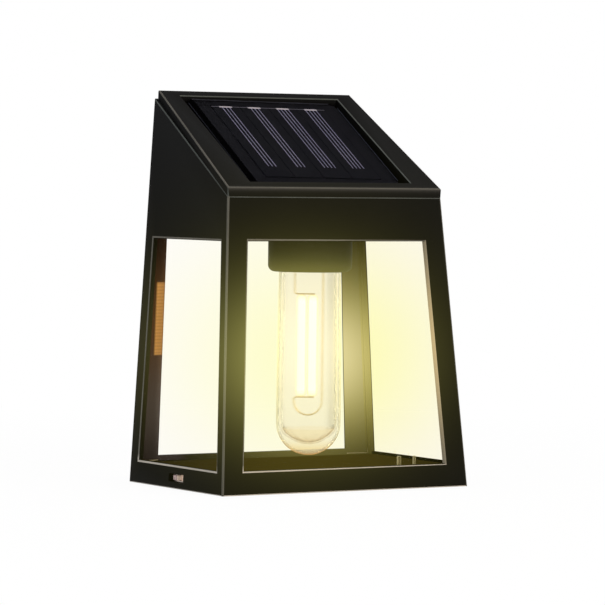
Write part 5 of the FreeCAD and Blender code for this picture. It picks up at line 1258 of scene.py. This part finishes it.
def cut_cross(piece):
    """Cut the two slots of the cross out of the head's face, which looks down."""
    for turn in (0.0, 90.0):
        cutter = start(
            "recess_cutter", bpy.ops.mesh.primitive_cube_add, size=1.0,
            rotation=(0, 0, math.radians(turn)),
            scale=(RECESS_LENGTH, RECESS_WIDTH, 2 * RECESS_DEPTH),
        )
        close(cutter)
        choose(piece)
        bpy.ops.object.modifier_add(type="BOOLEAN")
        piece.modifiers[-1].object = cutter
        piece.modifiers[-1].operation = "DIFFERENCE"
        bpy.ops.object.modifier_apply(modifier=piece.modifiers[-1].name)
        bpy.data.objects.remove(cutter)


first_screw = turned("screw", screw_profile(), 0.0, 0.0, 32)
cut_cross(first_screw)
smooth(first_screw, 40.0)
print("one screw of", len(first_screw.data.polygons), "faces")

# %% Copy it
base_low, base_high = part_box("base_screws")
back_low, back_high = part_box("back_screws")
base_x, back_y = base_high.x - SCREW_HEAD, back_high.y
TOP_X, FOOT_X = 37.0 * MM, 30.0 * MM
BASE_ROWS = (
    ("front", base_x, base_low.y + SCREW_HEAD, base_low.z),
    ("rear", base_x, base_high.y - SCREW_HEAD, base_low.z),
)
BACK_ROWS = (
    ("top", TOP_X, back_y, back_high.z - SCREW_HEAD),
    ("foot", FOOT_X, back_y, back_low.z + SCREW_HEAD),
)
for part, tilt, rows in (("base", 0.0, BASE_ROWS), ("back", 90.0, BACK_ROWS)):
    for side, side_name in ((-1, "left"), (1, "right")):
        for row, x, y, z in rows:
            screw = copy_of(first_screw, f"{part}_screw_{row}_{side_name}")
            screw.rotation_euler = (math.radians(tilt), 0.0, 0.0)
            screw.location = (side * x, y, z)
            bpy.ops.object.transform_apply()
            fit(screw, "steel_zinc", [f"{part}_screws"])
bpy.data.objects.remove(first_screw)

# %% [markdown]
# ## The slide switch
# The switch's steel shell is folded from sheet, and its knob is moulded, with three ribs on its end
# for the fingertip. Both get their edges eased. The ribs are what is left between two grooves: the
# end is bisected along the grooves' sides, and what lies between is pushed in by an extrude.

# %% Ease the switch and cut the knob's grooves
SHELL_EASE, KNOB_EASE = 0.12 * MM, 0.18 * MM
KNOB_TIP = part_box("switch_knob")[0].x
GROOVES = (-35.65 * MM, -34.55 * MM)
GROOVE_WIDTH, GROOVE_DEPTH = 0.36 * MM, 0.4 * MM


def small_edge(edge):
    return len(edge.link_faces) == 2 and edge.is_convex and edge.calc_face_angle(0.0) > SHARP


def knob_end(face):
    """True for what is level with the knob's outer end."""
    return face.normal.x < -0.9 and face.calc_center_median().x < KNOB_TIP + 0.05 * MM


def in_groove(face):
    y = face.calc_center_median().y
    return knob_end(face) and any(abs(y - middle) < GROOVE_WIDTH * 0.4 for middle in GROOVES)


metal = FINISHES["contact_nickel"]
eased("switch_shell", "eased_shell", SHELL_EASE, (metal, metal), small_edge)
white = FINISHES["knob_white"]
knob = eased("switch_knob", "eased_knob", KNOB_EASE, (white, white), small_edge, "knob")
bpy.ops.object.mode_set(mode="EDIT")
for middle in GROOVES:
    for side in (middle - GROOVE_WIDTH / 2, middle + GROOVE_WIDTH / 2):
        pick(knob, "faces", knob_end)
        bpy.ops.mesh.bisect(plane_co=(0.0, side, 0.0), plane_no=(0.0, 1.0, 0.0))
pushed = pick(knob, "faces", in_groove)
bpy.ops.mesh.extrude_region_move(TRANSFORM_OT_translate={"value": (GROOVE_DEPTH, 0.0, 0.0)})
close(knob)
smooth(knob, 30.0)
print(len(GROOVES), "grooves, from", pushed, "faces of the knob's end")
